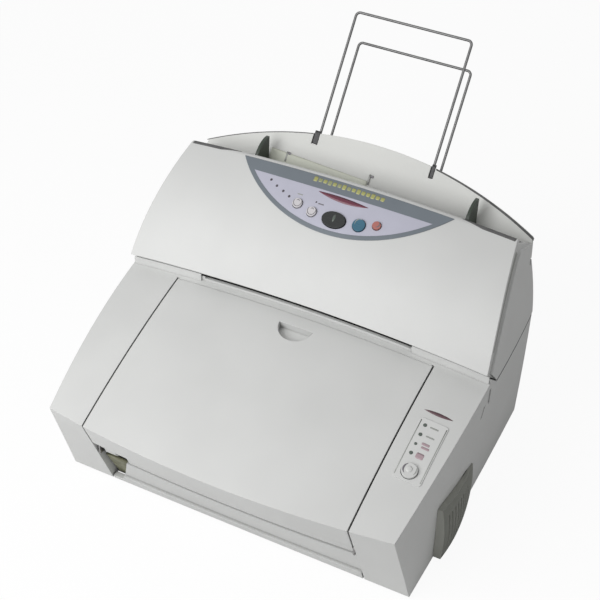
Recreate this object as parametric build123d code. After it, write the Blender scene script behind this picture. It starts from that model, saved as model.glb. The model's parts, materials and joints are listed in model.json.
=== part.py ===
from build123d import *
import math
import os

# A desktop multifunction printer: a laser printer below, a sheet-fed scanner with a control panel on top.
# Millimetres. X to the right as seen from the front, Y to the back, Z up.
# The origin is on the floor under the middle of the printer, and x = 0 is its plane of symmetry.

# Overall form, shared by the two casings
CROWN_AXIS_Z = -1550.0      # the top surfaces are turned about a far axis along Y, which crowns them
CROWN_SWEEP = 15.0          # degrees of that turn, wider than the printer
FAR = 400.0                 # longer than the printer in any direction
WALL = 2.6                  # moulded wall thickness
SEAM = 1.5                  # gap between a moving cover and the casing round it
REAR_Y = 86.0               # outer face of the rear wall
FOOT_HEIGHT = 2.0
CASE_BOTTOM = FOOT_HEIGHT
PAN_FRONT_Y = -158.4
PAN_THICK = 2.5

# Lower casing
SIDE_RADIUS = 1376.0        # plan radius of the sides, but for their bottom edge
SIDE_WIDEST_Y = -20.0
SIDE_LEVELS = (             # z, half width, y of the widest point and plan radius
    (0.0, 174.8, -100.0, 5800.0),
    (110.0, 181.2, SIDE_WIDEST_Y, SIDE_RADIUS),
    (170.0, 182.8, SIDE_WIDEST_Y, SIDE_RADIUS),
)
FRONT_BOTTOM_Y = -167.0     # straight bottom edge of the front
FRONT_TOP = (-209.5, 105.0)  # y and z of the front edge at x = 0
FRONT_TOP_RADIUS = 1000.0   # plan radius of that edge
COVER_REAR = (-26.0, 151.7)  # y and z of the rear end of the lower top surface at x = 0
LOWER_TOP_SAG = 5.2
NECK_Y = -11.0              # where the slope under the chin ends
SEAM_Z = 142.4              # seam between the casings at x = 0, lower at the sides by the crown
CASE_GAP = 1.1              # height of that seam
RIDGE_TOP_Z = 156.2         # top of the ridge that closes most of the gap under the chin
RIDGE_EXIT_Z = 154.0        # its height in front of the exit slot
RIDGE_GAP = 1.8             # from the ridge back to the underside of the chin, along Y

# Front cover and the fixed panel below it
COVER_HALF = 131.4
HINGE_Y = -178.5
HINGE_Z = 58.0
SKIRT_Z = 73.0              # lower edge of the cover's outer skirt
APRON_Z = 53.5              # lower edge of the cover's recessed apron
APRON_STEP = 3.0
PANEL_TOP_Z = 47.5
LEDGE_Z = 14.0
KNUCKLE_R = 4.0
HINGE_PIN_R = 2.0
HINGE_FIT = 0.06
SCOOP_X = 1.5
SCOOP_Y = -44.5
SCOOP_HALF = 17.0
SCOOP_REACH = 16.0
SCOOP_DEPTH = 8.0
COVER_EDGE_Y = -31.0        # rear edge of the cover, in front of the exit slot's fixed lip
APRON_X = (-98.0, 127.2)    # the apron leaves a gap for the arm at the left and a slot at the right
ARM_EDGE = ((-125.1, -10.0), (-89.6, 84.0))  # x and z of the slanted right edge of the arm opening
TROUGH_Y = (-170.6, -168.6)  # wall behind the hinge
TROUGH_TOP_Z = 66.0

# Upper casing
CHIN = (-33.0, 166.2)       # y and z at x = 0
PANEL_TOP = (60.0, 238.4)
UPPER_FRONT_SAG = 9.5
UPPER_SIDE = ((182.5, 133.0), (166.5, 233.0))  # half width and z, bottom and top of the side
UPPER_SIDE_SAG = 3.2
GROOVE_DEPTH = 2.2          # the groove that runs below the control cover in each cheek
GROOVE_LOW = 13.0           # from the cover's surface down to the groove's lower edge
COVER_CLEAR = 0.8           # gap under the control cover
CHEEK_FRONT_Y = -26.8       # the cheeks end here, to let the open cover's chin swing down
ROLL_R = 6.0                # rounded rear edge of the control cover
ROLL_END = 45.0
CONTROL_HINGE = (-25.5, 159.0)
CONTROL_PIN_R = 1.5
CONTROL_TAB_X = (158.0, 165.0)
CONTROL_BOSS_X = (165.6, 182.0)
CHEEK_REAR_TOP = (92.0, 215.0)

# Document tray and paper hopper, two parallel sloping plates
SLOPE = 49.8                # degrees from the horizontal
TRAY_APEX = (121.4, 241.5)  # y and z of the middle of the tray's arched top edge
TRAY_ARC_R = 379.0
TRAY_HALF = 174.0
TRAY_THICK = 3.0
TRAY_NOTCHES = ((-63.6, -57.1), (57.1, 61.8))
TRAY_NOTCH_V = -15.5        # down the slope from the apex
TRAY_FOOT_V = -89.5
HOPPER_TOP = (135.0, 207.6)
HOPPER_HALF = 112.0
HOPPER_LENGTH = 116.0
HOPPER_EDGE_V = -5.0        # upper edge of the hopper plate, down the slope from its top
WIRE_R = 1.25
WIRE_FIT = 0.1
DOC_WIRE_LEGS = (-58.6, 58.6)
DOC_WIRE_TOP_V = 114.8
PAPER_WIRE_LEGS = (-60.0, 56.2)
PAPER_WIRE_TOP_V = 108.4
WIRE_CORNER_R = 4.0
WIRE_SINK = 20.0            # length of leg inside its channel
WIRE_W = -3.6               # depth of the wire behind the plate's front side
PAPER_GAP_HALF = 115.0

# Document guides
GUIDE_MIDDLE_X = 5.0
GUIDE_X = 107.0             # from that middle to each guide
GUIDE_TRAVEL = 33.0
RACK_V = -51.5              # height of the pinion on the slope
PINION_W = (-11.5, -8.5)    # depth of the racks behind the tray
GUIDE_FIN = (               # up the slope and off the tray: foot, tip and the high point of the back
    (-54.0, 0.4), (-41.5, 0.4), (-20.5, 14.0), (-29.5, 23.5), (-41.5, 27.0), (-54.0, 22.0),
)
RACK_MODULE = 1.0
PINION_TEETH = 17
PINION_POST_R = 1.8

# Print engine
DRUM = (-72.0, 62.0)
DRUM_R = 15.0
HEAT = (0.0, 88.0)
HEAT_R = 12.0
PRESSURE_R = 10.0
NIP_GAP = 0.3
TRANSFER_R = 7.5
DEVELOPER_R = 8.0
EXIT = (3.0, 134.0)
EXIT_SLOT_X = (-104.0, 106.0)
EXIT_WINDOW_Y = (-20.5, -7.5)
EXIT_R = 6.5
ROLLER_HALF = 108.0
SHAFT_R = 3.0
SHAFT_FIT = 0.06
FRAME_X = 128.0             # inner face of a side frame
FRAME_THICK = 1.5
PICKUP = (53.6, 145.0)
PICKUP_R = 12.0

# Gear train in the left column
GEAR_MODULE = 1.0
GEAR_X = -140.0
GEAR_WIDTH = 6.0
DRUM_TEETH = 48
IDLER_TEETH = 36
HEAT_TEETH = 36
PINION_MOTOR_TEETH = 15
EXIT_IDLER_TEETH = 28
EXIT_TEETH = 16

# Scanner
SENSOR = (18.0, 160.0)
PLATEN = (18.0, 176.0)
PLATEN_R = 8.0
DOC_ROLLER_R = 9.0
DOC_ROLLER = (61.5, 186.2)

# Fan and exhaust grille on the right side
FAN_CENTRE = (-82.0, 37.0)
FAN_SIZE = 60.0
GRILLE_FRONT_Y = -118.0
GRILLE_TOP_Z = 69.0

# Rear wall: x and z ranges of the sockets
INLET = ((-124.0, -96.0), (26.0, 46.0))
SWITCH = ((-86.0, -66.0), (26.0, 48.0))
PORT = ((24.0, 80.0), (50.0, 66.0))
JACKS = ((90.0, 124.0), (50.0, 66.0))
SCREWS = ((-160.0, 24.0), (-160.0, 118.0), (160.0, 24.0), (160.0, 118.0))
SCREW_R = 1.5
ROCKER = (80.0, 37.0)
ROCKER_R = 1.2

# Keys
KEY_GAP = 0.5
KEY_PROUD = 2.2
KEYS = {                    # x, y, half width, half depth
    "start_key": (4.0, 25.6, 11.4, 7.6),
    "copy_key": (28.0, 27.6, 5.9, 5.9),
    "stop_key": (43.6, 31.8, 3.9, 3.9),
    "mode_key": (-34.9, 30.0, 4.6, 4.6),
    "quality_key": (-18.9, 26.6, 4.6, 4.6),
}

# Lenses
LENS_MIDDLE_Y = 38.0
LENS_RADIUS = 134.5
LENS_TOP = 27.0             # from the middle up to the straight edge
LENS_BOTTOM = 28.8          # from the middle down to the lowest point
LENS_BORDER = 4.0
LENS_BAND = 16.0
LENS_PROUD = 0.6
STATUS_LENS = (143.0, 168.8, -143.0, -83.5)
STATUS_KEY = (155.0, -133.8, 7.0)


def box(x, y, z):
    """A block between two limits on each axis."""
    solid = Box(x[1] - x[0], y[1] - y[0], z[1] - z[0])
    return Pos((x[0] + x[1]) / 2, (y[0] + y[1]) / 2, (z[0] + z[1]) / 2) * solid


def rod(x, centre, radius):
    """A cylinder along X between two limits."""
    solid = Rot(0, 90, 0) * Cylinder(radius, x[1] - x[0])
    return Pos((x[0] + x[1]) / 2, centre[0], centre[1]) * solid


def rounded_block(x, y, z, radius):
    """A block whose edges along X are rounded."""
    return fillet(box(x, y, z).edges().filter_by(Axis.X), radius)


def side_view(*points):
    """A flat face in the plane x = 0 from points (y, z)."""
    return Plane.YZ * make_face(Polyline(*points, close=True))


def across(face, x):
    """A side view extruded between two limits on X."""
    return Pos(x[0], 0, 0) * extrude(face, x[1] - x[0], dir=(1, 0, 0))


def bulge_point(start, end, sag):
    """The middle point of an arc that stands above the line from start to end."""
    run = end[0] - start[0]
    rise = end[1] - start[1]
    length = math.hypot(run, rise)
    return ((start[0] + end[0]) / 2 - rise / length * sag, (start[1] + end[1]) / 2 + run / length * sag)


def bulge_circle(start, end, sag):
    """Centre and radius of that arc."""
    length = math.hypot(end[0] - start[0], end[1] - start[1])
    radius = length * length / (8 * sag) + sag / 2
    top = bulge_point(start, end, sag)
    middle = ((start[0] + end[0]) / 2, (start[1] + end[1]) / 2)
    share = radius / sag
    return (top[0] + (middle[0] - top[0]) * share, top[1] + (middle[1] - top[1]) * share), radius


LOWER_ARC = bulge_circle(FRONT_TOP, COVER_REAR, LOWER_TOP_SAG)
UPPER_ARC = bulge_circle(CHIN, PANEL_TOP, UPPER_FRONT_SAG)


def arc_at(arc, y, inset=0.0):
    """Height of an arc at x = 0, on its upper side."""
    centre, radius = arc
    return centre[1] + math.sqrt((radius - inset) ** 2 - (y - centre[0]) ** 2)


def arc_point(arc, angle, inset=0.0):
    """Point (y, z) of an arc at an angle in degrees from +Y."""
    centre, radius = arc
    turn = math.radians(angle)
    return (centre[0] + (radius - inset) * math.cos(turn), centre[1] + (radius - inset) * math.sin(turn))


def surface_height(arc, x, y):
    """Height of a crowned surface."""
    return CROWN_AXIS_Z + math.sqrt((arc_at(arc, y) - CROWN_AXIS_Z) ** 2 - x * x)


def surface_plane(arc, x, y):
    """A plane on a crowned surface, with Z along its outward normal and Y towards the back."""
    step = 0.01
    slope_x = (surface_height(arc, x + step, y) - surface_height(arc, x - step, y)) / (2 * step)
    slope_y = (surface_height(arc, x, y + step) - surface_height(arc, x, y - step)) / (2 * step)
    normal = Vector(-slope_x, -slope_y, 1).normalized()
    right = Vector(1, 0, slope_x).normalized()
    return Plane(origin=(x, y, surface_height(arc, x, y)), x_dir=right, z_dir=normal)


def crowned(face):
    """A side view turned about the far axis, so that its top is crowned from side to side."""
    axis = Axis((0, 0, CROWN_AXIS_Z), (0, 1, 0))
    return revolve(face.rotate(axis, -CROWN_SWEEP / 2), axis, CROWN_SWEEP)


def arc_band(arc, first, last, outer, inner):
    """A side view of the strip between two insets of an arc, from angle first to angle last."""
    middle = (first + last) / 2
    outside = [arc_point(arc, angle, outer) for angle in (first, middle, last)]
    inside = [arc_point(arc, angle, inner) for angle in (last, middle, first)]
    edges = [
        ThreePointArc(*outside),
        Line(outside[-1], inside[0]),
        ThreePointArc(*inside),
        Line(inside[-1], outside[0]),
    ]
    return Plane.YZ * make_face(edges)


def angle_at(arc, y):
    """Angle in degrees of the arc's point above y."""
    centre, radius = arc
    return math.degrees(math.acos((y - centre[0]) / radius))


# Lower casing


def sides_section(level, inset):
    """A level section of the space between the sides."""
    z, half, widest_y, radius = level
    places = (-310.0, SIDE_WIDEST_Y, 270.0)
    drops = (radius - math.sqrt(radius ** 2 - (y - widest_y) ** 2) for y in places)
    front, middle, rear = (half - inset - drop for drop in drops)
    y0, y1, y2 = places
    outline = make_face([
        ThreePointArc((front, y0), (middle, y1), (rear, y2)),
        Line((rear, y2), (-rear, y2)),
        ThreePointArc((-rear, y2), (-middle, y1), (-front, y0)),
        Line((-front, y0), (front, y0)),
    ])
    return Pos(0, 0, z) * outline


def lower_sides(inset):
    """The space between the two sides, which are nearly straight at the bottom and barrel-shaped above."""
    return loft([sides_section(level, inset) for level in SIDE_LEVELS])


def front_section(y_middle, radius, z):
    """A level section of the space behind the front: a straight or a bowed front edge."""
    half = 200.0
    drop = radius - math.sqrt(radius ** 2 - half ** 2)
    outline = make_face([
        ThreePointArc((-half, y_middle + drop), (0, y_middle), (half, y_middle + drop)),
        Line((half, y_middle + drop), (half, FAR)),
        Line((half, FAR), (-half, FAR)),
        Line((-half, FAR), (-half, y_middle + drop)),
    ])
    return Pos(0, 0, z) * outline


def front_space(inset):
    """The space behind the slanted front, which is straight at the bottom and bowed at its top edge."""
    rise = FRONT_TOP[1] - CASE_BOTTOM
    run = FRONT_TOP[0] - FRONT_BOTTOM_Y
    depth = inset / math.cos(math.atan2(-run, rise))
    nearly_straight = 40000.0
    low = front_section(FRONT_BOTTOM_Y + depth, nearly_straight, CASE_BOTTOM)
    high = front_section(FRONT_TOP[0] + depth, FRONT_TOP_RADIUS, FRONT_TOP[1])
    return loft([low, high], ruled=True)


def front_space_tall(inset):
    """The same space carried up past the top surface with an upright wall."""
    cap = extrude(front_section(FRONT_TOP[0] + inset, FRONT_TOP_RADIUS, FRONT_TOP[1]), 90.0)
    return front_space(inset) + cap


def ridge_back(z):
    """The y of the ridge's back, which leans along the underside of the chin."""
    lean = (NECK_Y - CHIN[0]) / (CHIN[1] - SEAM_Z - CASE_GAP)
    return CHIN[0] + (CHIN[1] - z) * lean - RIDGE_GAP


def lower_profile(inset, ridged=False):
    """Side view of the lower casing, with its crowned top and, if ridged, the ridge behind it."""
    arc = LOWER_ARC
    first = angle_at(arc, COVER_REAR[0])
    last = angle_at(arc, -235.0)
    rear = REAR_Y - inset
    start = arc_point(arc, first, inset)
    end = arc_point(arc, last, inset)
    middle = arc_point(arc, (first + last) / 2, inset)
    edges = [
        ThreePointArc(start, middle, end),
        Line(end, (end[0], -60)),
        Line((end[0], -60), (rear, -60)),
        Line((rear, -60), (rear, SEAM_Z)),
    ]
    neck = [(NECK_Y - inset, SEAM_Z)]
    if ridged:
        neck = [(ridge_back(SEAM_Z), SEAM_Z), (ridge_back(RIDGE_TOP_Z), RIDGE_TOP_Z),
                (COVER_REAR[0], RIDGE_TOP_Z)]
    corners = [(rear, SEAM_Z), *neck, start]
    edges += [Line(a, b) for a, b in zip(corners, corners[1:])]
    return Plane.YZ * make_face(edges)


def lower_envelope(inset, ridged=False):
    """The lower casing as one filled form, shrunk by an inset."""
    solid = crowned(lower_profile(inset, ridged)) & lower_sides(inset)
    solid = solid & front_space_tall(inset)
    return solid & box((-FAR, FAR), (-FAR, FAR), (CASE_BOTTOM, FAR))


def lower_shell(ridged=False):
    """The lower casing's moulded wall, open below and under the upper casing."""
    hollow = lower_envelope(WALL)
    opening = box((-168, 168), (NECK_Y + 3, REAR_Y - WALL), (100, FAR))
    return lower_envelope(0, ridged) - hollow - opening


def cover_region(gap):
    """The part of the wall that belongs to the front cover."""
    half = COVER_HALF - gap
    return box((-half, half), (-FAR, COVER_EDGE_Y - gap), (APRON_Z - SEAM + gap, FAR))


def panel_region(gap):
    """The part of the wall that belongs to the fixed panel below the cover."""
    half = COVER_HALF - gap
    return box((-half, half), (-FAR, -100), (CASE_BOTTOM, APRON_Z - SEAM))


def rear_openings():
    """Holes in the rear wall for the sockets and screws, and the gap where the paper comes in."""
    holes = box((-HOPPER_HALF - 1.5, HOPPER_HALF + 1.5), (60, 100), (112, 160))
    for x, z in (INLET, SWITCH, PORT, JACKS):
        holes += box(x, (80, 90), z)
    for x, z in SCREWS:
        holes += Pos(x, REAR_Y, z) * (Rot(90, 0, 0) * Cylinder(SCREW_R, 12))
    return holes


def side_slots():
    """Two short slots in each side wall under the chin, the front one aslant."""
    upright = box((160, 200), (-26.3, -22.3), (116, 134))
    aslant = across(side_view((-35.5, 121), (-31.5, 121), (-38.0, 110), (-42.0, 110)), (160, 200))
    cuts = upright + aslant
    return cuts + mirror(cuts, about=Plane.YZ)


def grille_window():
    """The hole behind the exhaust grille."""
    return box((160, 200), (GRILLE_FRONT_Y + 5, -58), (12, 62))


def exit_step():
    """The space above the lower part of the ridge, where the paper leaves over it."""
    above = side_view((-30, RIDGE_EXIT_Z), (-5, RIDGE_EXIT_Z), (-5, 190), (-30, 190))
    return crowned(above) & box(EXIT_SLOT_X, (-FAR, 0), (100, FAR))


def lower_case():
    """The casing of the lower unit: both columns, side walls, neck, ridge and rear wall."""
    solid = lower_envelope(0, ridged=True)
    lip_rib = solid & box((-COVER_HALF - 1, COVER_HALF + 1), (-28.0, EXIT_WINDOW_Y[0]), (140, FAR))
    shell = lower_shell(ridged=True) + lip_rib - cover_region(0) - panel_region(0) - exit_step()
    shell = shell - rear_openings() - side_slots() - grille_window()
    shell = shell - box(EXIT_SLOT_X, EXIT_WINDOW_Y, (100, FAR)) - status_key_shape(KEY_GAP, -12, 8)
    half = COVER_HALF
    flange = solid & (box((half, half + WALL), (-FAR, -60), (CASE_BOTTOM, FAR))
                      + box((-half - WALL, -half), (-FAR, -60), (CASE_BOTTOM, FAR)))
    deep = solid & box((half, half + WALL), (PAN_FRONT_Y - 0.4, -60), (CASE_BOTTOM, 96))
    deep = deep + mirror(deep, about=Plane.YZ)
    return shell + (flange - deep)


def arm_opening():
    """The space of the dark opening at the left of the front, with its slanted right edge."""
    low, high = ARM_EDGE
    outline = Plane.XZ * make_face(Polyline((-200, low[1]), low, high, (-200, high[1]), close=True))
    return extrude(outline, FAR, both=True)


def front_cover():
    """The big front cover: top skin, skirt, recessed apron, finger scoop and hinge knuckles."""
    region = cover_region(SEAM)
    skin = lower_shell() & region
    apron_zone = box((-FAR, FAR), (-FAR, -120), (APRON_Z, SKIRT_Z))
    recessed = lower_envelope(APRON_STEP) - lower_envelope(APRON_STEP + WALL)
    apron = recessed & region & box(APRON_X, (-FAR, -120), (APRON_Z, SKIRT_Z + WALL))
    lip_zone = box((-FAR, FAR), (-FAR, -120), (SKIRT_Z, SKIRT_Z + WALL))
    lip = (lower_envelope(0) - lower_envelope(APRON_STEP + WALL)) & region & lip_zone
    body = (skin - apron_zone) + (apron - arm_opening()) + lip
    body = body - scoop_cut() + scoop_bowl()
    inside = lower_envelope(APRON_STEP + 0.1)
    for x0 in (-123.0, 111.0):
        knuckle = rod((x0, x0 + 12), (HINGE_Y, HINGE_Z), KNUCKLE_R)
        web = box((x0, x0 + 12), (HINGE_Y - 16, HINGE_Y + 1), (HINGE_Z, SKIRT_Z + WALL)) & inside
        body = body + knuckle + web
    return body - rod((-FAR, FAR), (HINGE_Y, HINGE_Z), HINGE_PIN_R + HINGE_FIT)


def half_moon(grow, depth):
    """The half-moon of the finger scoop as a block that goes down from the cover's surface."""
    plane = surface_plane(LOWER_ARC, SCOOP_X, SCOOP_Y)
    half = SCOOP_HALF + grow
    reach = SCOOP_REACH + grow
    outline = make_face([
        ThreePointArc((-half, grow), (0, -reach), (half, grow)),
        Line((half, grow), (-half, grow)),
    ])
    return plane * (Pos(0, 0, -depth) * extrude(outline, depth + 3))


def scoop_cut():
    """The hollow of the finger scoop."""
    return half_moon(0, SCOOP_DEPTH)


def scoop_bowl():
    """The wall under the finger scoop."""
    block = half_moon(2.0, SCOOP_DEPTH + 2.0) - half_moon(0, SCOOP_DEPTH)
    return block & lower_envelope(0)


def front_panel():
    """The fixed slanted panel below the cover, with its ledge, arm opening and hinge trough."""
    zone = panel_region(SEAM)
    outer = lower_envelope(0)
    recessed = lower_envelope(APRON_STEP)
    inner = lower_envelope(APRON_STEP + WALL)
    low = (outer - inner) & zone & box((-FAR, FAR), (-FAR, FAR), (CASE_BOTTOM, LEDGE_Z))
    high = (recessed - inner) & zone & box((-FAR, FAR), (-FAR, FAR), (LEDGE_Z, PANEL_TOP_Z))
    bottom_strip = box((-FAR, FAR), (-FAR, FAR), (0, 6))
    sheet = (low + high) - (arm_opening() - bottom_strip)
    floor = inner & box(APRON_X, (-FAR, TROUGH_Y[1]), (PANEL_TOP_Z - WALL, PANEL_TOP_Z))
    floor += recessed & box(APRON_X, (-FAR, TROUGH_Y[0]), (PANEL_TOP_Z - WALL, PANEL_TOP_Z))
    wall = box(APRON_X, TROUGH_Y, (PANEL_TOP_Z - WALL, TROUGH_TOP_Z))
    return sheet + (floor - arm_opening()) + (wall - arm_opening())


def base_pan():
    """The bottom pan with a low rim, which carries the frames and boards."""
    rim_height = 9.0
    rim_thick = 2.0
    rear = REAR_Y - WALL - 0.4
    inner = lower_envelope(WALL + 0.4)
    floor = inner & box((-FAR, FAR), (PAN_FRONT_Y, rear), (CASE_BOTTOM, CASE_BOTTOM + PAN_THICK))
    rim = inner & box((-FAR, FAR), (PAN_FRONT_Y, rear), (CASE_BOTTOM, CASE_BOTTOM + rim_height))
    hollow = lower_envelope(WALL + 0.4 + rim_thick) & box(
        (-FAR, FAR), (PAN_FRONT_Y + rim_thick, rear - rim_thick), (0, FAR))
    return floor + (rim - hollow)


def rubber_feet():
    """Four round feet under the pan."""
    feet = Part()
    for x in (-140, 140):
        for y in (-132, 58):
            feet += Pos(x, y, FOOT_HEIGHT / 2) * Cylinder(9, FOOT_HEIGHT)
    return feet


def side_frame(side):
    """A steel side plate with bearing holes and an ear for the cover's hinge pin."""
    x = (FRAME_X, FRAME_X + FRAME_THICK) if side > 0 else (-FRAME_X - FRAME_THICK, -FRAME_X)
    plate = across(side_view(
        (-150, 4.5), (78, 4.5), (78, 122), (50, 128), (14, 128), (10, 141), (-5, 141), (-12, 130),
        (-40, 128), (-108, 116), (-150, 92), (-152, 70), (-184, 63), (-184, 53), (-152, 44)), x)
    for centre in (DRUM, HEAT, pressure_centre(), transfer_centre(), EXIT, developer_centre()):
        plate -= rod(x, centre, SHAFT_R + SHAFT_FIT)
    plate -= rod(x, (HINGE_Y, HINGE_Z), HINGE_PIN_R)
    if side > 0:
        return plate - box(x, (20, 66), (14, 56))
    post = (GEAR_X - 0.6, -FRAME_X - FRAME_THICK)
    return plate + rod(post, IDLER, POST_R) + rod(post, EXIT_IDLER, POST_R)


def cross_bars():
    """Three folded steel bars that tie the side frames together."""
    half = 7.0
    bars = Part()
    for y, z in ((-140, 16), (50, 50), (66, 100)):
        outer = box((-FRAME_X, FRAME_X), (y - half, y + half), (z - half, z + half))
        inner = box((-FRAME_X, FRAME_X), (y - half + 1.2, y + half), (z - half + 1.2, z + half))
        bars += outer - inner
    return bars


def hinge_pins():
    """Two steel pins on which the front cover turns."""
    left = rod((-FRAME_X - FRAME_THICK, -109), (HINGE_Y, HINGE_Z), HINGE_PIN_R)
    return left + mirror(left, about=Plane.YZ)


# Print engine


def below(centre, distance):
    """The point straight below a roller's axis."""
    return (centre[0], centre[1] - distance)


def pressure_centre():
    return below(HEAT, HEAT_R + PRESSURE_R + NIP_GAP)


def transfer_centre():
    return below(DRUM, DRUM_R + TRANSFER_R + NIP_GAP)


def developer_centre():
    return (DRUM[0] - DRUM_R - DEVELOPER_R - NIP_GAP, DRUM[1])


def roller(centre, radius, shaft=(-FRAME_X - 3.0, FRAME_X + 3.0), half=ROLLER_HALF):
    """A roller with a thinner shaft through the side frames."""
    return rod((-half, half), centre, radius) + rod(shaft, centre, SHAFT_R)


def gear(centre, teeth, phase, x0=GEAR_X, width=GEAR_WIDTH, bore=0.0, module=GEAR_MODULE):
    """A spur gear along X. Phase is the direction of one tooth in degrees from +Y towards +Z."""
    pitch_r = module * teeth / 2
    tip_r = pitch_r + 0.85 * module
    root_r = pitch_r - 1.2 * module
    step = 360 / teeth
    points = []
    for n in range(teeth):
        for offset, radius in ((-0.27, root_r), (-0.11, tip_r), (0.11, tip_r), (0.27, root_r)):
            turn = math.radians(phase + (n + offset) * step)
            points.append((centre[0] + radius * math.cos(turn), centre[1] + radius * math.sin(turn)))
    blank = across(side_view(*points), (x0, x0 + width))
    if bore:
        blank -= rod((x0, x0 + width), centre, bore)
    return blank


def meshing_phase(centre, teeth, other_centre, other_teeth, other_phase):
    """The phase that lets a gear's gap meet the other gear's tooth on the line of centres."""
    direction = math.degrees(math.atan2(centre[1] - other_centre[1], centre[0] - other_centre[0]))
    other_step = 360 / other_teeth
    behind = (other_phase - direction) % other_step
    pitch_shift = behind / other_step
    return direction + 180 - (pitch_shift + 0.5) * 360 / teeth


def meeting_point(a, radius_a, b, radius_b, side):
    """The point at given distances from two others, on one side of the line between them."""
    run = (b[0] - a[0], b[1] - a[1])
    span = math.hypot(*run)
    along = (span ** 2 + radius_a ** 2 - radius_b ** 2) / (2 * span)
    off = side * math.sqrt(radius_a ** 2 - along ** 2)
    return (a[0] + (run[0] * along - run[1] * off) / span, a[1] + (run[1] * along + run[0] * off) / span)


def centre_distance(teeth_a, teeth_b):
    return GEAR_MODULE * (teeth_a + teeth_b) / 2


IDLER = meeting_point(DRUM, centre_distance(DRUM_TEETH, IDLER_TEETH), HEAT,
                      centre_distance(HEAT_TEETH, IDLER_TEETH), -1)
MOTOR = (IDLER[0] + 4.0, IDLER[1] - math.sqrt(centre_distance(IDLER_TEETH, PINION_MOTOR_TEETH) ** 2 - 16.0))
EXIT_IDLER = meeting_point(HEAT, centre_distance(HEAT_TEETH, EXIT_IDLER_TEETH), EXIT,
                           centre_distance(EXIT_TEETH, EXIT_IDLER_TEETH), 1)
DRUM_PHASE = 0.0
IDLER_PHASE = meshing_phase(IDLER, IDLER_TEETH, DRUM, DRUM_TEETH, DRUM_PHASE)
HEAT_PHASE = meshing_phase(HEAT, HEAT_TEETH, IDLER, IDLER_TEETH, IDLER_PHASE)
MOTOR_PHASE = meshing_phase(MOTOR, PINION_MOTOR_TEETH, IDLER, IDLER_TEETH, IDLER_PHASE)
EXIT_IDLER_PHASE = meshing_phase(EXIT_IDLER, EXIT_IDLER_TEETH, HEAT, HEAT_TEETH, HEAT_PHASE)
EXIT_PHASE = meshing_phase(EXIT, EXIT_TEETH, EXIT_IDLER, EXIT_IDLER_TEETH, EXIT_IDLER_PHASE)
GEAR_SHAFT = (GEAR_X, FRAME_X + 3.0)
POST_R = 2.0


def photo_drum():
    return roller(DRUM, DRUM_R, GEAR_SHAFT)


def drum_gear():
    return gear(DRUM, DRUM_TEETH, DRUM_PHASE, bore=SHAFT_R)


def heat_roller():
    return roller(HEAT, HEAT_R, GEAR_SHAFT)


def heat_gear():
    return gear(HEAT, HEAT_TEETH, HEAT_PHASE, bore=SHAFT_R)


def idler_gear():
    return gear(IDLER, IDLER_TEETH, IDLER_PHASE, bore=POST_R + SHAFT_FIT)


def exit_idler_gear():
    return gear(EXIT_IDLER, EXIT_IDLER_TEETH, EXIT_IDLER_PHASE, bore=POST_R + SHAFT_FIT)


def main_motor():
    """The motor in the left column, its shaft towards the frame."""
    can = rod((-166, GEAR_X - 4), MOTOR, 17)
    nose = rod((GEAR_X - 4, GEAR_X - 2), MOTOR, 6)
    foot = box((-166, GEAR_X - 4), (MOTOR[0] - 12, MOTOR[0] + 12), (CASE_BOTTOM + 2.5, MOTOR[1] - 12))
    return can + nose + foot


def motor_pinion():
    shaft = rod((GEAR_X - 1.5, GEAR_X + GEAR_WIDTH), MOTOR, 1.5)
    return gear(MOTOR, PINION_MOTOR_TEETH, MOTOR_PHASE) + shaft


def exit_roller():
    """The exit shaft with four rubber rollers and its gear."""
    body = rod(GEAR_SHAFT, EXIT, SHAFT_R)
    for x in (-84, -28, 28, 84):
        body += rod((x - 9, x + 9), EXIT, EXIT_R)
    return body + gear(EXIT, EXIT_TEETH, EXIT_PHASE, bore=SHAFT_R - 0.5)


def drum_frame():
    """The drum unit's frame: two end plates, a floor and a rear wall round the drum."""
    ends = Part()
    for x0 in (-122.0, 119.0):
        plate = across(side_view((-104, 38), (-50, 34), (-46, 84), (-62, 92), (-104, 88)), (x0, x0 + 3))
        for centre in (DRUM, transfer_centre(), developer_centre()):
            plate -= rod((x0, x0 + 3), centre, SHAFT_R + SHAFT_FIT)
        ends += plate
    wall = box((-119, 119), (-50, -47.5), (50, 86))
    roof = box((-119, 119), (-86, -50), (84, 86))
    return ends + wall + roof


def toner_cartridge():
    """The toner box in front of the developer roller, with a handle."""
    body = rounded_block((-106, 106), (-152, -105), (44, 90), 6)
    handle = box((-24, 24), (-146, -140), (88, 102)) + box((-24, 24), (-146, -122), (99, 102))
    return body + handle


def laser_unit():
    """The laser scanner box with a glass slit below its front."""
    body = box((-104, 104), (-94, -36), (100, 124))
    lid = box((-100, 100), (-90, -40), (124, 126))
    feet = Part()
    for x0 in (-FRAME_X, 104):
        feet += box((x0, x0 + 24), (-80, -50), (100, 103))
    return body + lid + feet


def fuser_frame():
    """The fuser's end plates and hood round the heat roller."""
    ends = Part()
    for x0 in (-122.0, 119.0):
        plate = across(side_view((-20, 52), (20, 52), (20, 102), (-20, 102)), (x0, x0 + 3))
        for centre in (HEAT, pressure_centre()):
            plate -= rod((x0, x0 + 3), centre, SHAFT_R + SHAFT_FIT)
        ends += plate
    hood = box((-122, 122), (-20, 20), (102, 104)) + box((-119, 119), (-20, -18), (80, 102))
    foot = box((-122, 122), (-20, 20), (50, 52))
    return ends + hood + foot


def main_board():
    """The controller board under the paper path with its bigger parts."""
    board = box((-112, 60), (-120, 20), (8, 9.6))
    for x, y in ((-80, -90), (-40, -60), (10, -90)):
        board += box((x, x + 26), (y, y + 26), (9.6, 12.6))
    for x in (-110, 52):
        for y in (-118, 12):
            board += box((x, x + 6), (y, y + 6), (CASE_BOTTOM + 2.5, 8))
    return board


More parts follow.
